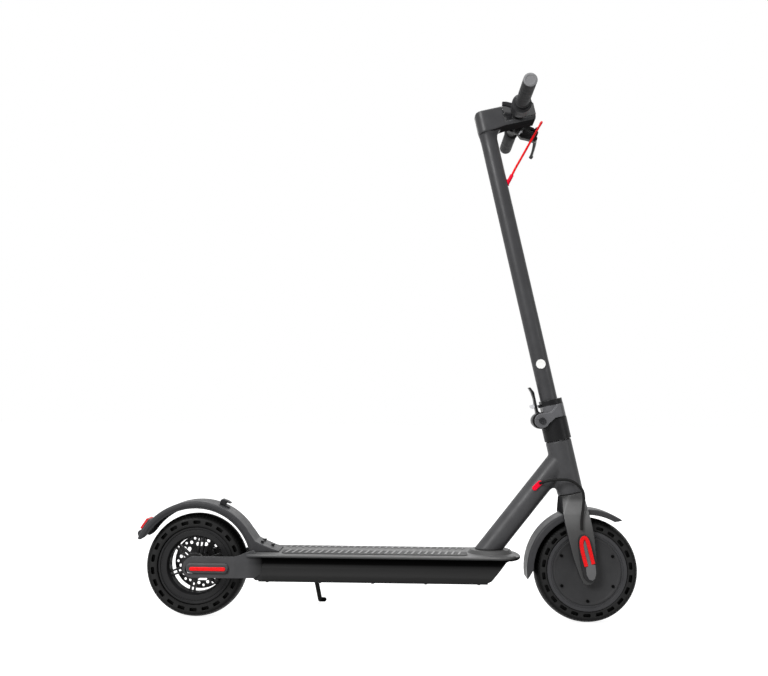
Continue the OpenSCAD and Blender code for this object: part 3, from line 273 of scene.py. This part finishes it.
def deck_paint():
    """The coat of the deck, with painted shade that makes it darker down its side and nearly black in the
    groove under its rim, and a painted highlight along the rim.
    """
    colour = (0.05, 0.05, 0.052)
    m, n, l, skin = start_finish("deck_coat_painted_light", colour, 0.4)
    place = mottle(n, l, skin, colour, 0.1, 0.03)
    plain = skin.inputs["Base Color"].links[0].from_socket
    # Painted shade and highlight by height: darker down the side, nearly black in the groove under the rim,
    # bright on the rim.
    painted_light_by_height = greys_along(n, l, place, "Z", (
        (0.0855, 0.018), (0.100, 0.026), (0.112, 0.020), (0.118, 0.010), (0.1205, 0.002),
        (0.1325, 0.0015), (0.1345, 0.028), (0.1365, 0.06), (0.1385, 0.11), (0.1405, 0.06)))
    # The painted shade and highlight apply forward of x = -0.252 m and fade out towards the rear arms.
    on_the_side = greys_along(n, l, place, "X", ((-0.284, 0), (-0.252, 1)))
    both = blend_colours(n, l, on_the_side, plain, painted_light_by_height)
    l.new(both, skin.inputs["Base Color"])
    # The shine follows the painted light, so it dims in the painted shade.
    gloss = n.new("ShaderNodeMath")
    gloss.operation = "MULTIPLY"
    gloss.inputs[1].default_value = 2.5
    gloss.use_clamp = True
    l.new(both, gloss.inputs[0])
    l.new(gloss.outputs[0], skin.inputs["Specular IOR Level"])
    vary_roughness(n, l, skin, place, 0.36, 0.48, 0.02)
    grain(n, l, skin, place, 0.0011, 0.00008, 0.4, 0.0012)
    return m


def repaint_along(material, axis, stops):
    """Takes the colour of a finish from a coordinate."""
    n, l = material.node_tree.nodes, material.node_tree.links
    place = next(x for x in n if x.type == "TEX_COORD")
    l.new(greys_along(n, l, place, axis, stops), n["Principled BSDF"].inputs["Base Color"])


def finish_node(name, material):
    mesh = node[name].data
    mesh.materials.clear()
    mesh.materials.append(material)


frame_coat = powder_coat("frame_coat", (0.05, 0.05, 0.052), 0.38, 0.0012, 0.14)
finish_node("deck_frame", deck_paint())
fork_coat_painted_light = powder_coat("fork_coat_painted_light", (0.05, 0.05, 0.052), 0.32, 0.001, 0.2)
# Painted highlight: a pale band round the upper fork legs between 0.214 and 0.249 m high, darker above and
# below it.
repaint_along(fork_coat_painted_light, "Z", (
    (0.150, 0.04), (0.190, 0.055), (0.214, 0.10), (0.235, 0.125), (0.249, 0.11), (0.258, 0.04),
    (0.280, 0.035)))
collar_coat = powder_coat("collar_coat", (0.085, 0.085, 0.09), 0.38)
stem_coat = powder_coat("stem_coat", (0.036, 0.036, 0.038), 0.36, 0.002, 0.2)
black_coat = powder_coat("black_coat", (0.006, 0.006, 0.0065), 0.36, 0.001, 0.12)
for name in ("handlebar", "bell_housing", "brake_caliper"):
    finish_node(name, black_coat)
dull_black = powder_coat("dull_black", (0.002, 0.002, 0.002), 0.6, 0.0008, 0.02)
for name in ("kickstand_bracket", "motor_cover_screws"):
    finish_node(name, dull_black)
finish_node("motor_hub", powder_coat("drum_coat", (0.034, 0.034, 0.036), 0.42, 0.0012, 0.2))
cover_coat = powder_coat("cover_coat", (0.028, 0.028, 0.029), 0.5, 0.0012, 0.15)
finish_node("rear_rim", powder_coat("rim_coat", (0.012, 0.012, 0.0125), 0.34, 0.0012, 0.15))


# Plastics. Moulded nylon and ABS with a spark-eroded texture, or polished where it faces
# the rider.
def moulded(name, colour, rough=0.5, size=0.0008, depth=0.00006, soft_edge=0.001, shine=0.15):
    m, n, l, skin = start_finish(name, colour, rough, 0.0, shine)
    place = mottle(n, l, skin, colour, 0.08, 0.02)
    vary_roughness(n, l, skin, place, rough - 0.06, rough + 0.08, 0.015)
    grain(n, l, skin, place, size, depth, 0.5, soft_edge)
    return m


black_nylon = moulded("black_nylon", (0.012, 0.012, 0.013), 0.5)
for name in ("bottom_cover", "power_button", "charge_cap"):
    finish_node(name, black_nylon)
fender_plastic = moulded("fender_plastic", (0.036, 0.036, 0.038), 0.4, shine=0.1)
arm_plastic = moulded("arm_plastic", (0.05, 0.05, 0.052), 0.4)
leg_plastic = moulded("leg_plastic", (0.014, 0.014, 0.0145), 0.42)
tongue_plastic = moulded("tongue_plastic", (0.11, 0.11, 0.112), 0.4)
cap_plastic = moulded("cap_plastic", (0.17, 0.17, 0.175), 0.5)
finish_node("stem_reflector", moulded("disc_plastic", (0.8, 0.8, 0.78), 0.3))
finish_node("motor_stator", moulded("winding_varnish", (0.3, 0.1, 0.03), 0.4))
finish_node("battery_pack", moulded("cell_wrap", (0.03, 0.08, 0.26), 0.35))
finish_node("dash_housing", moulded("dash_gloss", (0.012, 0.012, 0.013), 0.12, 0.004, 0.00002,
                                    shine=1.0))


# Rubbers. Tyres, mat, grips and the soft parts round the cables, moulded or drawn from dyed
# rubber with a dull skin that gathers a little dust.
def rubber(name, colour, rough=0.7, dust=0.5):
    m, n, l, skin = start_finish(name, colour, rough, 0.0, 0.08)
    place = mottle(n, l, skin, colour, 0.25*dust, 0.012)
    vary_roughness(n, l, skin, place, rough - 0.1, rough + 0.1, 0.008)
    grain(n, l, skin, place, 0.0006, 0.0001, 0.6)
    return m


red_rubber = rubber("red_rubber", (0.82, 0.004, 0.03), 0.45, 0.2)
red_sleeve = rubber("red_sleeve", (0.78, 0.004, 0.008), 0.5, 0.1)
black_sleeve = rubber("black_sleeve", (0.01, 0.01, 0.01), 0.5)


# Bare metal. Axles, bearings, screws and the brake disc, of turned or ground steel with fine
# marks from the tool, some of it darkened with zinc.
def bare_metal(name, colour, rough=0.3):
    m, n, l, skin = start_finish(name, colour, rough, 1.0, 0.5)
    place = mottle(n, l, skin, colour, 0.08, 0.01)
    vary_roughness(n, l, skin, place, rough - 0.08, rough + 0.12, 0.004)
    grain(n, l, skin, place, 0.0004, 0.00004, 0.5)
    return m


steel = bare_metal("steel", (0.55, 0.55, 0.57))
for name in ("rear_axle", "front_axle", "headset_bearings", "rear_bearings", "lock_plunger",
             "bell_lever", "caliper_arm", "motor_controller"):
    finish_node(name, steel)
finish_node("brake_disc", bare_metal("disc_steel", (0.045, 0.045, 0.047), 0.42))
dark_zinc = bare_metal("dark_zinc", (0.03, 0.03, 0.032), 0.4)
for name in ("fender_screws", "disc_screws", "bottom_cover_screws", "hinge_pin"):
    finish_node(name, dark_zinc)


# Lenses. The tail light, the headlight, the display's window and the reflectors, of clear, dark
# or red acrylic with the small cells of a reflector behind.
def lens(name, colour, rough=0.15, cell=0.002):
    m, n, l, skin = start_finish(name, colour, rough)
    place = n.new("ShaderNodeTexCoord")
    cells = n.new("ShaderNodeTexVoronoi")
    cells.inputs["Scale"].default_value = 1/cell
    ramp = n.new("ShaderNodeValToRGB")
    ramp.color_ramp.elements[0].color = (*[min(1, c*1.15) for c in colour], 1)
    ramp.color_ramp.elements[1].color = (*[c*0.75 for c in colour], 1)
    l.new(place.outputs["Object"], cells.inputs["Vector"])
    l.new(cells.outputs["Distance"], ramp.inputs["Fac"])
    l.new(ramp.outputs["Color"], skin.inputs["Base Color"])
    grain(n, l, skin, place, 0.0015, 0.00005, 0.4)
    return m


finish_node("tail_light", lens("tail_lens", (0.62, 0.012, 0.014)))
red_strip = lens("red_strip", (0.74, 0.004, 0.006), 0.4)
finish_node("headlight", lens("clear_lens", (0.75, 0.77, 0.8)))
finish_node("dash_display", lens("display_window", (0.01, 0.012, 0.016), 0.08, 0.02))


# Tyres. Solid rubber moulded in one, with a row of oval holes through each side wall that lets
# it give, and short cross cuts on the shoulders of the tread. It is stretched over the rim.
TYRE_HOLES = 22
COLUMNS = 8*TYRE_HOLES
HOLE_IN, HOLE_OUT = 0.0866, 0.0944
SHOULDER_IN, SHOULDER_OUT, SHOULDER_DEPTH = 0.0984, 0.1052, 0.0101


def start_edit(piece, kind="VERT", everything=True):
    deselect_all()
    piece.select_set(True)
    bpy.context.view_layer.objects.active = piece
    bpy.ops.object.mode_set(mode="EDIT")
    bpy.ops.mesh.select_mode(type=kind)
    bpy.ops.mesh.select_all(action="SELECT" if everything else "DESELECT")


def trace(name, points, close=True):
    """Draws an outline corner by corner, and fills it where it is closed."""
    deselect_all()
    bpy.ops.mesh.primitive_plane_add(size=0.001)
    piece = bpy.context.object
    piece.name = name
    start_edit(piece)
    bpy.ops.mesh.merge(type="CENTER")
    bpy.ops.transform.translate(value=points[0])
    for a, b in zip(points, points[1:]):
        bpy.ops.mesh.extrude_vertices_move(TRANSFORM_OT_translate={"value": Vector(b) - Vector(a)})
    if close:
        bpy.ops.mesh.select_all(action="SELECT")
        bpy.ops.mesh.edge_face_add()
    return piece


def settle(piece, angle=40):
    """Merges doubles, turns the faces outwards and shades the piece smooth up to the angle."""
    start_edit(piece)
    bpy.ops.mesh.remove_doubles(threshold=0.000005)
    bpy.ops.mesh.normals_make_consistent(inside=False)
    bpy.ops.object.mode_set(mode="OBJECT")
    bpy.ops.object.transform_apply(location=True, rotation=True, scale=True)
    bpy.ops.object.shade_smooth_by_angle(angle=radians(angle))
    return piece


def pick(piece, wanted):
    """Selects the faces whose middle and normal answer the test."""
    start_edit(piece, "FACE", False)
    bpy.ops.object.mode_set(mode="OBJECT")
    for f in piece.data.polygons:
        f.select = wanted(f.center, f.normal)
    bpy.ops.object.mode_set(mode="EDIT")


def change(piece, kind, **settings):
    """Adds a modifier and applies it at once."""
    deselect_all()
    piece.select_set(True)
    bpy.context.view_layer.objects.active = piece
    modifier = piece.modifiers.new(kind.lower(), kind)
    for key, value in settings.items():
        setattr(modifier, key, value)
    bpy.ops.object.modifier_apply(modifier=modifier.name)


def turn_round(piece, centre, sides, angle=2*pi):
    """Spins a drawn section about the line along Y through the centre."""
    start_edit(piece)
    bpy.ops.mesh.spin(steps=sides, angle=angle, center=centre, axis=(0, -1, 0))
    bpy.ops.object.mode_set(mode="OBJECT")


def lathe(name, section, centre, sides=96):
    """Turns a closed section, given as pairs of radius and Y, about the centre."""
    outline = [(centre.x + r, y, centre.z) for r, y in section]
    piece = trace(name, outline + outline[:1], close=False)
    turn_round(piece, centre, sides)
    return settle(piece)


def finish(piece, material, body, *replaced):
    piece.data.materials.clear()
    piece.data.materials.append(material)
    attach(piece, body)
    if replaced:
        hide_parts(*replaced)
    return piece


def both_ends(half):
    """A section that is the same on both sides of the middle plane."""
    return list(half) + [(r, -y) for r, y in reversed(half)]


def centre_of(name):
    low, high = (Vector(c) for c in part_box(name))
    return (low + high)/2


FRONT = centre_of("front_axle")
REAR = centre_of("rear_axle")


def tyre_painted_highlight_skin(name, w):
    """Black rubber with a painted highlight: lighter grey on the flat of its side walls, staying black in the
    holes and over the tread.
    """
    skin = rubber(name, (0.004, 0.004, 0.004), 0.45)
    # Painted highlight on the flat faces of the side walls.
    repaint_along(skin, "Y", (
        (-w, 0.016), (0.0004 - w, 0.012), (0.0016 - w, 0.0015), (w - 0.0016, 0.0015), (w - 0.0004, 0.012),
        (w, 0.016)))
    return skin


def tyre(name, centre, inner_r, body):
    low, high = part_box(name)
    r = (high[2] - low[2])/2
    w = (high[1] - low[1])/2
    half = ((inner_r, w - 0.0022), (inner_r + 0.0016, w - 0.0005), (0.0865, w), (0.0905, w), (0.0945, w),
            (0.0982, w - 0.0009), (0.1016, w - 0.0034), (0.1043, w - 0.0076), (0.1062, w - 0.0126),
            (0.1074, w - 0.0182), (r, 0.0024))
    piece = lathe(name + "_moulded", both_ends(half), centre, COLUMNS)

    def column(point):
        return int(degrees(atan2(point.z - centre.z, point.x - centre.x))/360*COLUMNS % COLUMNS)

    def radius(point):
        return hypot(point.x - centre.x, point.z - centre.z)
    # Oval holes
    for side in (-1, 1):
        pick(piece, lambda c, n: HOLE_IN < radius(c) < HOLE_OUT and side*c.y > w - 0.0004
             and column(c) % 8 in (1, 2, 3, 4, 5))
        bpy.ops.mesh.inset(thickness=0.0005)
        bpy.ops.mesh.extrude_region_move(TRANSFORM_OT_translate={"value": (0, -side*0.0012, 0)})
        bpy.ops.mesh.extrude_region_move(TRANSFORM_OT_translate={"value": (0, -side*0.0088, 0)})
        bpy.ops.mesh.inset(thickness=0.0004)
    # Cross cuts on the shoulders
    pick(piece, lambda c, n: SHOULDER_IN < radius(c) < SHOULDER_OUT and abs(c.y) > w - SHOULDER_DEPTH
         and column(c) % 2 == 0)
    bpy.ops.mesh.inset(thickness=0.0005, use_individual=True)
    bpy.ops.mesh.inset(thickness=0.0003, depth=-0.0011, use_individual=True)
    bpy.ops.object.mode_set(mode="OBJECT")
    change(piece, "SUBSURF", levels=1)
    settle(piece, 55)
    return finish(piece, tyre_painted_highlight_skin(name + "_skin", w), body, name)


tyre("rear_tyre", REAR, 0.0791, "rear_wheel")
tyre("front_tyre", FRONT, 0.0821, "front_wheel")


# Deck mat. A moulded rubber sheet glued to the deck, with raised ribs that run slantwise and
# a plain rim all round. It keeps the rider's shoes from slipping.
def slab(name, outline, y0, y1):
    """Draws an outline in X and Z at y0 and gives it thickness to y1."""
    piece = trace(name, [(x, y0, z) for x, z in outline])
    bpy.ops.mesh.extrude_region_move(TRANSFORM_OT_translate={"value": (0, y1 - y0, 0)})
    bpy.ops.object.mode_set(mode="OBJECT")
    return settle(piece, 30)


def join(pieces):
    deselect_all()
    for p in pieces:
        p.select_set(True)
    bpy.context.view_layer.objects.active = pieces[0]
    bpy.ops.object.join()
    return pieces[0]


def rounded_outline(x0, x1, y0, y1, z, radius, steps=6):
    corners = ((x1, y1, 0), (x0, y1, 90), (x0, y0, 180), (x1, y0, 270))
    return [(x - radius*(1 if start in (0, 270) else -1) + radius*cos(radians(start + 90*k/steps)),
             y - radius*(1 if start in (0, 90) else -1) + radius*sin(radians(start + 90*k/steps)), z)
            for x, y, start in corners for k in range(steps + 1)]


# Grey of the painted highlight on the rib tops.
RIB_HIGHLIGHT_GREY = 0.2


def mat_rubber(top):
    """Rubber with a painted highlight on the tops of the ribs, and lighter grey along the plain middle."""
    colour = (0.03, 0.03, 0.031)
    m, n, l, skin = start_finish("mat_rubber_painted_highlight", colour, 0.5, 0.0, 0.12)
    place = mottle(n, l, skin, colour, 0.2, 0.012)
    middle = greys_along(n, l, place, "Y", (
        (-0.052, 0.05), (-0.047, 0.03), (-0.0085, 0.03), (-0.007, 0.11), (0.025, 0.11), (0.0265, 0.03),
        (0.047, 0.03), (0.052, 0.05)))
    # Painted highlight: the tops of the ribs are painted pale.
    on_a_rib = greys_along(n, l, place, "Z", ((top - 0.0010, 0), (top - 0.0003, 1)))
    l.new(blend_colours(n, l, on_a_rib, middle, RIB_HIGHLIGHT_GREY), skin.inputs["Base Color"])
    vary_roughness(n, l, skin, place, 0.42, 0.6, 0.008)
    grain(n, l, skin, place, 0.0006, 0.0001, 0.6)
    return m


def deck_mat():
    (x0, y0, z0), (x1, y1, z1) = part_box("deck_mat")
    sheet = z1 - 0.0012
    base = trace("mat_sheet", rounded_outline(x0, x1, y0, y1, z0, 0.014))
    bpy.ops.mesh.extrude_region_move(TRANSFORM_OT_translate={"value": (0, 0, sheet - z0)})
    bpy.ops.object.mode_set(mode="OBJECT")
    change(base, "BEVEL", width=0.0006, segments=2)
    # One rib, long enough to cross the mat, then its copies
    pitch, across = 0.0138, y1 - y0
    run = across*0.19
    start = x0 - run
    rib = trace("mat_rib", [(start + a, y0 - 0.004, z) for a, z in (
        (-0.0030, sheet - 0.0004), (-0.0021, z1 - 0.0002), (-0.0016, z1), (0.0016, z1),
        (0.0021, z1 - 0.0002), (0.0030, sheet - 0.0004))])
    bpy.ops.mesh.extrude_region_move(TRANSFORM_OT_translate={"value": (run, across + 0.008, 0)})
    bpy.ops.object.mode_set(mode="OBJECT")
    settle(rib, 40)
    ribs = [rib]
    for k in range(1, int((x1 - start)/pitch)):
        copy = rib.copy()
        copy.data = rib.data.copy()
        scene.collection.objects.link(copy)
        copy.location.x = k*pitch
        ribs.append(copy)
    ribs = join(ribs)
    settle(ribs, 40)
    # Trim them to the two bands beside the plain middle
    bands = []
    for name, low, high in (("near_band", y0 + 0.0045, -0.008), ("far_band", 0.026, y1 - 0.0045)):
        band = trace(name, rounded_outline(x0 + 0.0045, x1 - 0.0045, low, high, z0, 0.004))
        bpy.ops.mesh.extrude_region_move(TRANSFORM_OT_translate={"value": (0, 0, 0.006)})
        bpy.ops.object.mode_set(mode="OBJECT")
        bands.append(settle(band, 30))
    field = join(bands)
    change(ribs, "BOOLEAN", operation="INTERSECT", object=field, solver="EXACT")
    bpy.data.objects.remove(field)
    mat = join([base, ribs])
    mat.name = "deck_mat_moulded"
    settle(mat, 35)
    return finish(mat, mat_rubber(z1), "frame", "deck_mat")


deck_mat()


# Cast and moulded parts. The neck, fork, stem, collar, folding base, levers and stand are cast
# or forged metal, and the fenders, throttle, hook and grommets are moulded plastic or rubber, so
# every edge of theirs is rounded over.
def cast_copy(source, voxel, passes):
    """Copies a CAD solid, closes its skin afresh and rounds its edges over."""
    piece = node[source].copy()
    piece.data = node[source].data.copy()
    piece.parent = None
    piece.matrix_world = Matrix.Identity(4)
    piece.name = source + "_cast"
    scene.collection.objects.link(piece)
    settle(piece)
    change(piece, "REMESH", mode="VOXEL", voxel_size=voxel)
    change(piece, "SMOOTH", factor=0.6, iterations=passes)
    return settle(piece, 80)


def recoat(piece, material, wanted):
    """Gives the faces whose middle and normal answer the test a second coat."""
    piece.data.materials.append(material)
    for f in piece.data.polygons:
        if wanted(f.center, f.normal):
            f.material_index = 1


finish(cast_copy("front_frame", 0.0018, 12), frame_coat, "frame", "front_frame")
fork = finish(cast_copy("fork", 0.0014, 7), fork_coat_painted_light, "fork_assembly", "fork")
# Painted shade: the faces that look backwards get a darker, duller coat.
recoat(fork, powder_coat("fork_back_painted_shade", (0.022, 0.022, 0.023), 0.6, 0.001, 0.0),
       lambda c, n: n.x < -0.75)
stem = finish(cast_copy("stem_tube", 0.0016, 5), stem_coat, "stem", "stem_tube")
# Painted shade: the faces that look downwards get a darker, duller coat.
recoat(stem, powder_coat("stem_underside_painted_shade", (0.02, 0.02, 0.021), 0.6, 0.002, 0.0),
       lambda c, n: n.z < -0.75)
for name, voxel, passes, material, body in (
        ("folding_base", 0.0011, 4, black_coat, "fork_assembly"),
        ("folding_lever", 0.0009, 5, black_coat, "latch_lever"),
        ("rear_fender", 0.0013, 4, fender_plastic, "frame"),
        ("front_fender", 0.0013, 4, fender_plastic, "fork_assembly"),
        ("brake_lever", 0.0008, 4, black_coat, "hand_brake"),
        ("brake_lever_bracket", 0.0009, 4, black_coat, "stem"),
        ("throttle_paddle", 0.0009, 3, black_nylon, "throttle"),
        ("throttle_housing", 0.0010, 3, black_nylon, "stem"),
        ("kickstand", 0.0009, 3, dull_black, "stand"),
        ("fender_hook", 0.0009, 3, black_nylon, "frame"),
        ("cable_grommet", 0.0007, 4, red_rubber, "frame"),
        ("stem_grommet", 0.0006, 3, red_rubber, "stem")):
    finish(cast_copy(name, voxel, passes), material, body, name)

collar = finish(cast_copy("stem_collar", 0.0010, 4), collar_coat, "stem", "stem_collar")
STEER = next(Vector(j["axis"]) for j in frame["record"]["behaviour"]["joints"] if j["name"] == "steering")
AXIS_FOOT = FRONT + Vector((0.0064, 0, 0))
RING_LOW = 0.3517
recoat(collar, black_coat, lambda c, n: (c - AXIS_FOOT).dot(STEER) > RING_LOW)


# Fork leg covers. Moulded caps clipped over the axle nuts, each with a raised inverted U of
# red reflector round a grey tongue.
def around(centre, points):
    """Points given in millimetres ahead of and above a centre."""
    return [(centre.x + x/1000, centre.z + z/1000) for x, z in points]


def ribbon(points, width):
    """Outline of a band of the given width along a line of points."""
    left, right = [], []
    for i, (x, z) in enumerate(points):
        a = points[max(i - 1, 0)]
        b = points[min(i + 1, len(points) - 1)]
        run = hypot(b[0] - a[0], b[1] - a[1])
        nx, nz = -(b[1] - a[1])/run, (b[0] - a[0])/run
        left.append((x + nx*width/2, z + nz*width/2))
        right.append((x - nx*width/2, z - nz*width/2))
    return left + right[::-1]


def smooth_line(points, steps):
    """Points along a smooth line through the given ones."""
    line = []
    p = [Vector(q) for q in points]
    for i in range(len(p) - 1):
        a, b, c, d = p[max(i - 1, 0)], p[i], p[i + 1], p[min(i + 2, len(p) - 1)]
        for k in range(steps):
            t = k/steps
            line.append(0.5*(2*b + (c - a)*t + (2*a - 5*b + 4*c - d)*t*t + (3*b - a - 3*c + d)*t*t*t))
    return line + [p[-1]]


def other_side(piece):
    """Joins a piece to its mirror image across the middle plane."""
    twin = piece.copy()
    twin.data = piece.data.copy()
    scene.collection.objects.link(twin)
    start_edit(twin)
    bpy.ops.transform.resize(value=(1, -1, 1), center_override=(0, 0, 0))
    bpy.ops.object.mode_set(mode="OBJECT")
    settle(twin, 40)
    return join([piece, twin])


def bevelled_slab(name, outline, y0, y1, width, steps=4):
    piece = slab(name, outline, y0, y1)
    change(piece, "BEVEL", width=width, segments=steps, angle_limit=radians(50))
    return settle(piece, 40)


leg_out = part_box("fork")[1][1]
cover_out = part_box("fork_leg_covers")[1][1]
mark_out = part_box("fork_reflectors")[1][1]
cover_line = smooth_line([(-21.8, 66), (-20.6, 45), (-16.4, 14), (-13, 0), (-11.5, -10), (-5.1, -17),
                          (2, -19), (9.1, -17), (14.6, -6), (15.4, 8), (13.2, 26), (8.4, 46), (3.6, 63),
                          (-1.5, 73), (-9, 77), (-17.5, 74)], 3)
cover = bevelled_slab("leg_cover", around(FRONT, cover_line), leg_out - 0.0012, cover_out, 0.0028, 5)
tongue_line = [(-9.5, 66), (-12, 57), (-9.6, 42), (-2.8, 14.5), (-7.4, 11), (-6.2, -3), (-1.5, -12.5),
               (5.5, -15), (11, -11), (13.6, 0), (12, 17), (4, 18), (-4.9, 54), (-7.6, 64)]
tongue = bevelled_slab("leg_tongue", around(FRONT, tongue_line), cover_out - 0.0003,
                       cover_out + 0.0009, 0.0004, 2)
covers = finish(other_side(join([cover, tongue])), leg_plastic, "fork_assembly", "fork_leg_covers")
recoat(covers, tongue_plastic, lambda c, n: abs(c.y) > cover_out + 0.0002)
mark_width = 7.6
mark_line = smooth_line([(-6.5, 13.5), (-13.6, 41), (-16, 58), (-14.6, 67.5), (-9.5, 71.8), (-4.6, 67),
                         (-1, 55.5), (7.6, 18.5)], 3)
mark = bevelled_slab("leg_mark", around(FRONT, ribbon(mark_line, mark_width)), cover_out - 0.0006,
                     mark_out, 0.0008, 3)
finish(other_side(mark), red_strip, "fork_assembly", "fork_reflectors")


# Rear arm covers. Long moulded caps over the rear axle nuts, each with a red reflector strip
# let into its face.
def capsule(x0, x1, z, radius, steps=12):
    return ([(x1 + radius*cos(a), z + radius*sin(a)) for a in
             [radians(-90 + 180*k/steps) for k in range(steps + 1)]]
            + [(x0 + radius*cos(a), z + radius*sin(a)) for a in
               [radians(90 + 180*k/steps) for k in range(steps + 1)]])


arm_cover_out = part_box("rear_arm_covers")[1][1]
arm_cover_in = arm_cover_out - 0.0064
arm_mark_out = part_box("rear_reflectors")[1][1]
cap = bevelled_slab("arm_cover", around(REAR, capsule(2, 70, 3.5, 10)), arm_cover_in, arm_cover_out, 0.0024)
finish(other_side(cap), arm_plastic, "frame", "rear_arm_covers")
strip = bevelled_slab("arm_strip", around(REAR, capsule(3.9, 71, 2.3, 3.85, 8)), arm_cover_out - 0.0005,
                      arm_mark_out, 0.0008, 3)
finish(other_side(strip), red_strip, "frame", "rear_reflectors")


# Grips and their end caps. Soft rubber sleeves pushed on the bar, with a collar at the inner
# end and a grey plug in the outer end.
BAR = centre_of("handlebar")
GRIP_LENGTH = 0.113
grip_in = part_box("grips")[1][1] - GRIP_LENGTH
grip_section = [(r/1000, grip_in + y/1000) for r, y in (
    (11.05, 0), (15.2, 0), (15.7, 0.6), (15.7, 2.2), (15.2, 3), (14.3, 3.8), (13.7, 5), (13.7, 9), (14.1, 11),
    (14.2, 30), (14.2, 108), (13.9, 112.4), (13.3, 113), (11.05, 113))]
grip = lathe("grip", grip_section, BAR, 64)
finish(other_side(grip), rubber("grip_rubber", (0.028, 0.028, 0.029), 0.62), "stem", "grips")
cap_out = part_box("grip_caps")[1][1]


def lathe_open(name, section, centre, sides=64):
    """Turns a section that starts and ends on the centre line."""
    piece = trace(name, [(centre.x + r, y, centre.z) for r, y in section], close=False)
    turn_round(piece, centre, sides)
    return settle(piece)


plug = lathe_open("grip_plug", [(r/1000, cap_out + y/1000) for r, y in (
    (0, -12), (7.6, -12), (8.7, -11), (8.7, -1.9), (13.4, -1.9), (14.2, -1.4), (14.1, -0.7), (13.2, -0.1),
    (9.5, 0), (9.1, -0.5), (3.5, -0.6), (0, -0.6))], BAR)
finish(other_side(plug), cap_plastic, "stem", "grip_caps")


# Motor cover. A spun aluminium plate screwed over the open side of the hub motor, with a
# raised rim and a raised boss round the axle.
cover_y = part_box("motor_cover")[0][1]
plate_section = [(r/1000, cover_y + y/1000) for r, y in (
    (12.15, 4.4), (70.7, 4.4), (70.8, 0.9), (70.1, 0.1), (66.4, 0), (65.2, 0.9), (64.4, 1.2), (30, 0.7),
    (24, 0.5), (22.5, -0.3), (19, -0.9), (12.6, -0.9), (12.15, -0.4))]
finish(lathe("motor_cover_spun", plate_section, FRONT, 128), cover_coat, "front_wheel", "motor_cover")


# Cables. A red brake hose from the stem to the brake lever, a black one along the rear arm to
# the caliper, and the motor's lead, which leaves the down tube through a soft grommet.
def cable_curve(name, points, diameter):
    data = bpy.data.curves.new(name, "CURVE")
    data.dimensions = "3D"
    data.bevel_depth = diameter/2
    data.bevel_resolution = 4
    data.use_fill_caps = True
    spline = data.splines.new("POLY")
    spline.points.add(len(points) - 1)
    for target, p in zip(spline.points, points):
        target.co = (*p, 1)
    obj = bpy.data.objects.new(name, data)
    scene.collection.objects.link(obj)
    return obj


def route(centre, points, steps=4):
    return smooth_line([centre + Vector(p)/1000 for p in points], steps)


hose_path = route(BAR, [(-10.8, 0, -129.5), (-2, 1, -112), (13, 5, -85), (37, 13, -41), (52, 22, -14),
                        (60, 30, 0), (59, 36, 1), (55.9, 43, -5.6), (52.3, 43.4, -8.8)], 4)
hose = cable_curve("brake_hose", hose_path, 0.005)
hose.data.materials.append(red_sleeve)
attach(hose, "stem")
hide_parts("brake_cable")
rear_path = route(REAR, [(116.3, 42, 12), (106, 43, 16), (94, 44, 22), (82, 44, 26), (70.5, 44, 27)], 5)
rear_hose = cable_curve("rear_brake_hose", rear_path, 0.005)
rear_hose.data.materials.append(black_sleeve)
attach(rear_hose, "frame")
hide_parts("rear_brake_cable")
lead_path = route(FRONT, [(-96, -27.4, 180.5), (-95.5, -31, 181), (-90, -37, 183.5), (-70, -41, 188),
                          (-38, -42, 188), (-16, -43, 174), (-9, -44, 156), (-11, -45, 130), (-14, -45, 106),
                          (-14, -45, 86.5)], 4)
lead = cable_curve("motor_lead", lead_path, 0.006)
deselect_all()
lead.select_set(True)
bpy.context.view_layer.objects.active = lead
bpy.ops.object.convert(target="MESH")
settle(lead, 60)
lead.data.materials.clear()
lead.data.materials.append(black_sleeve)
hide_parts("motor_cable")
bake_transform(lead)
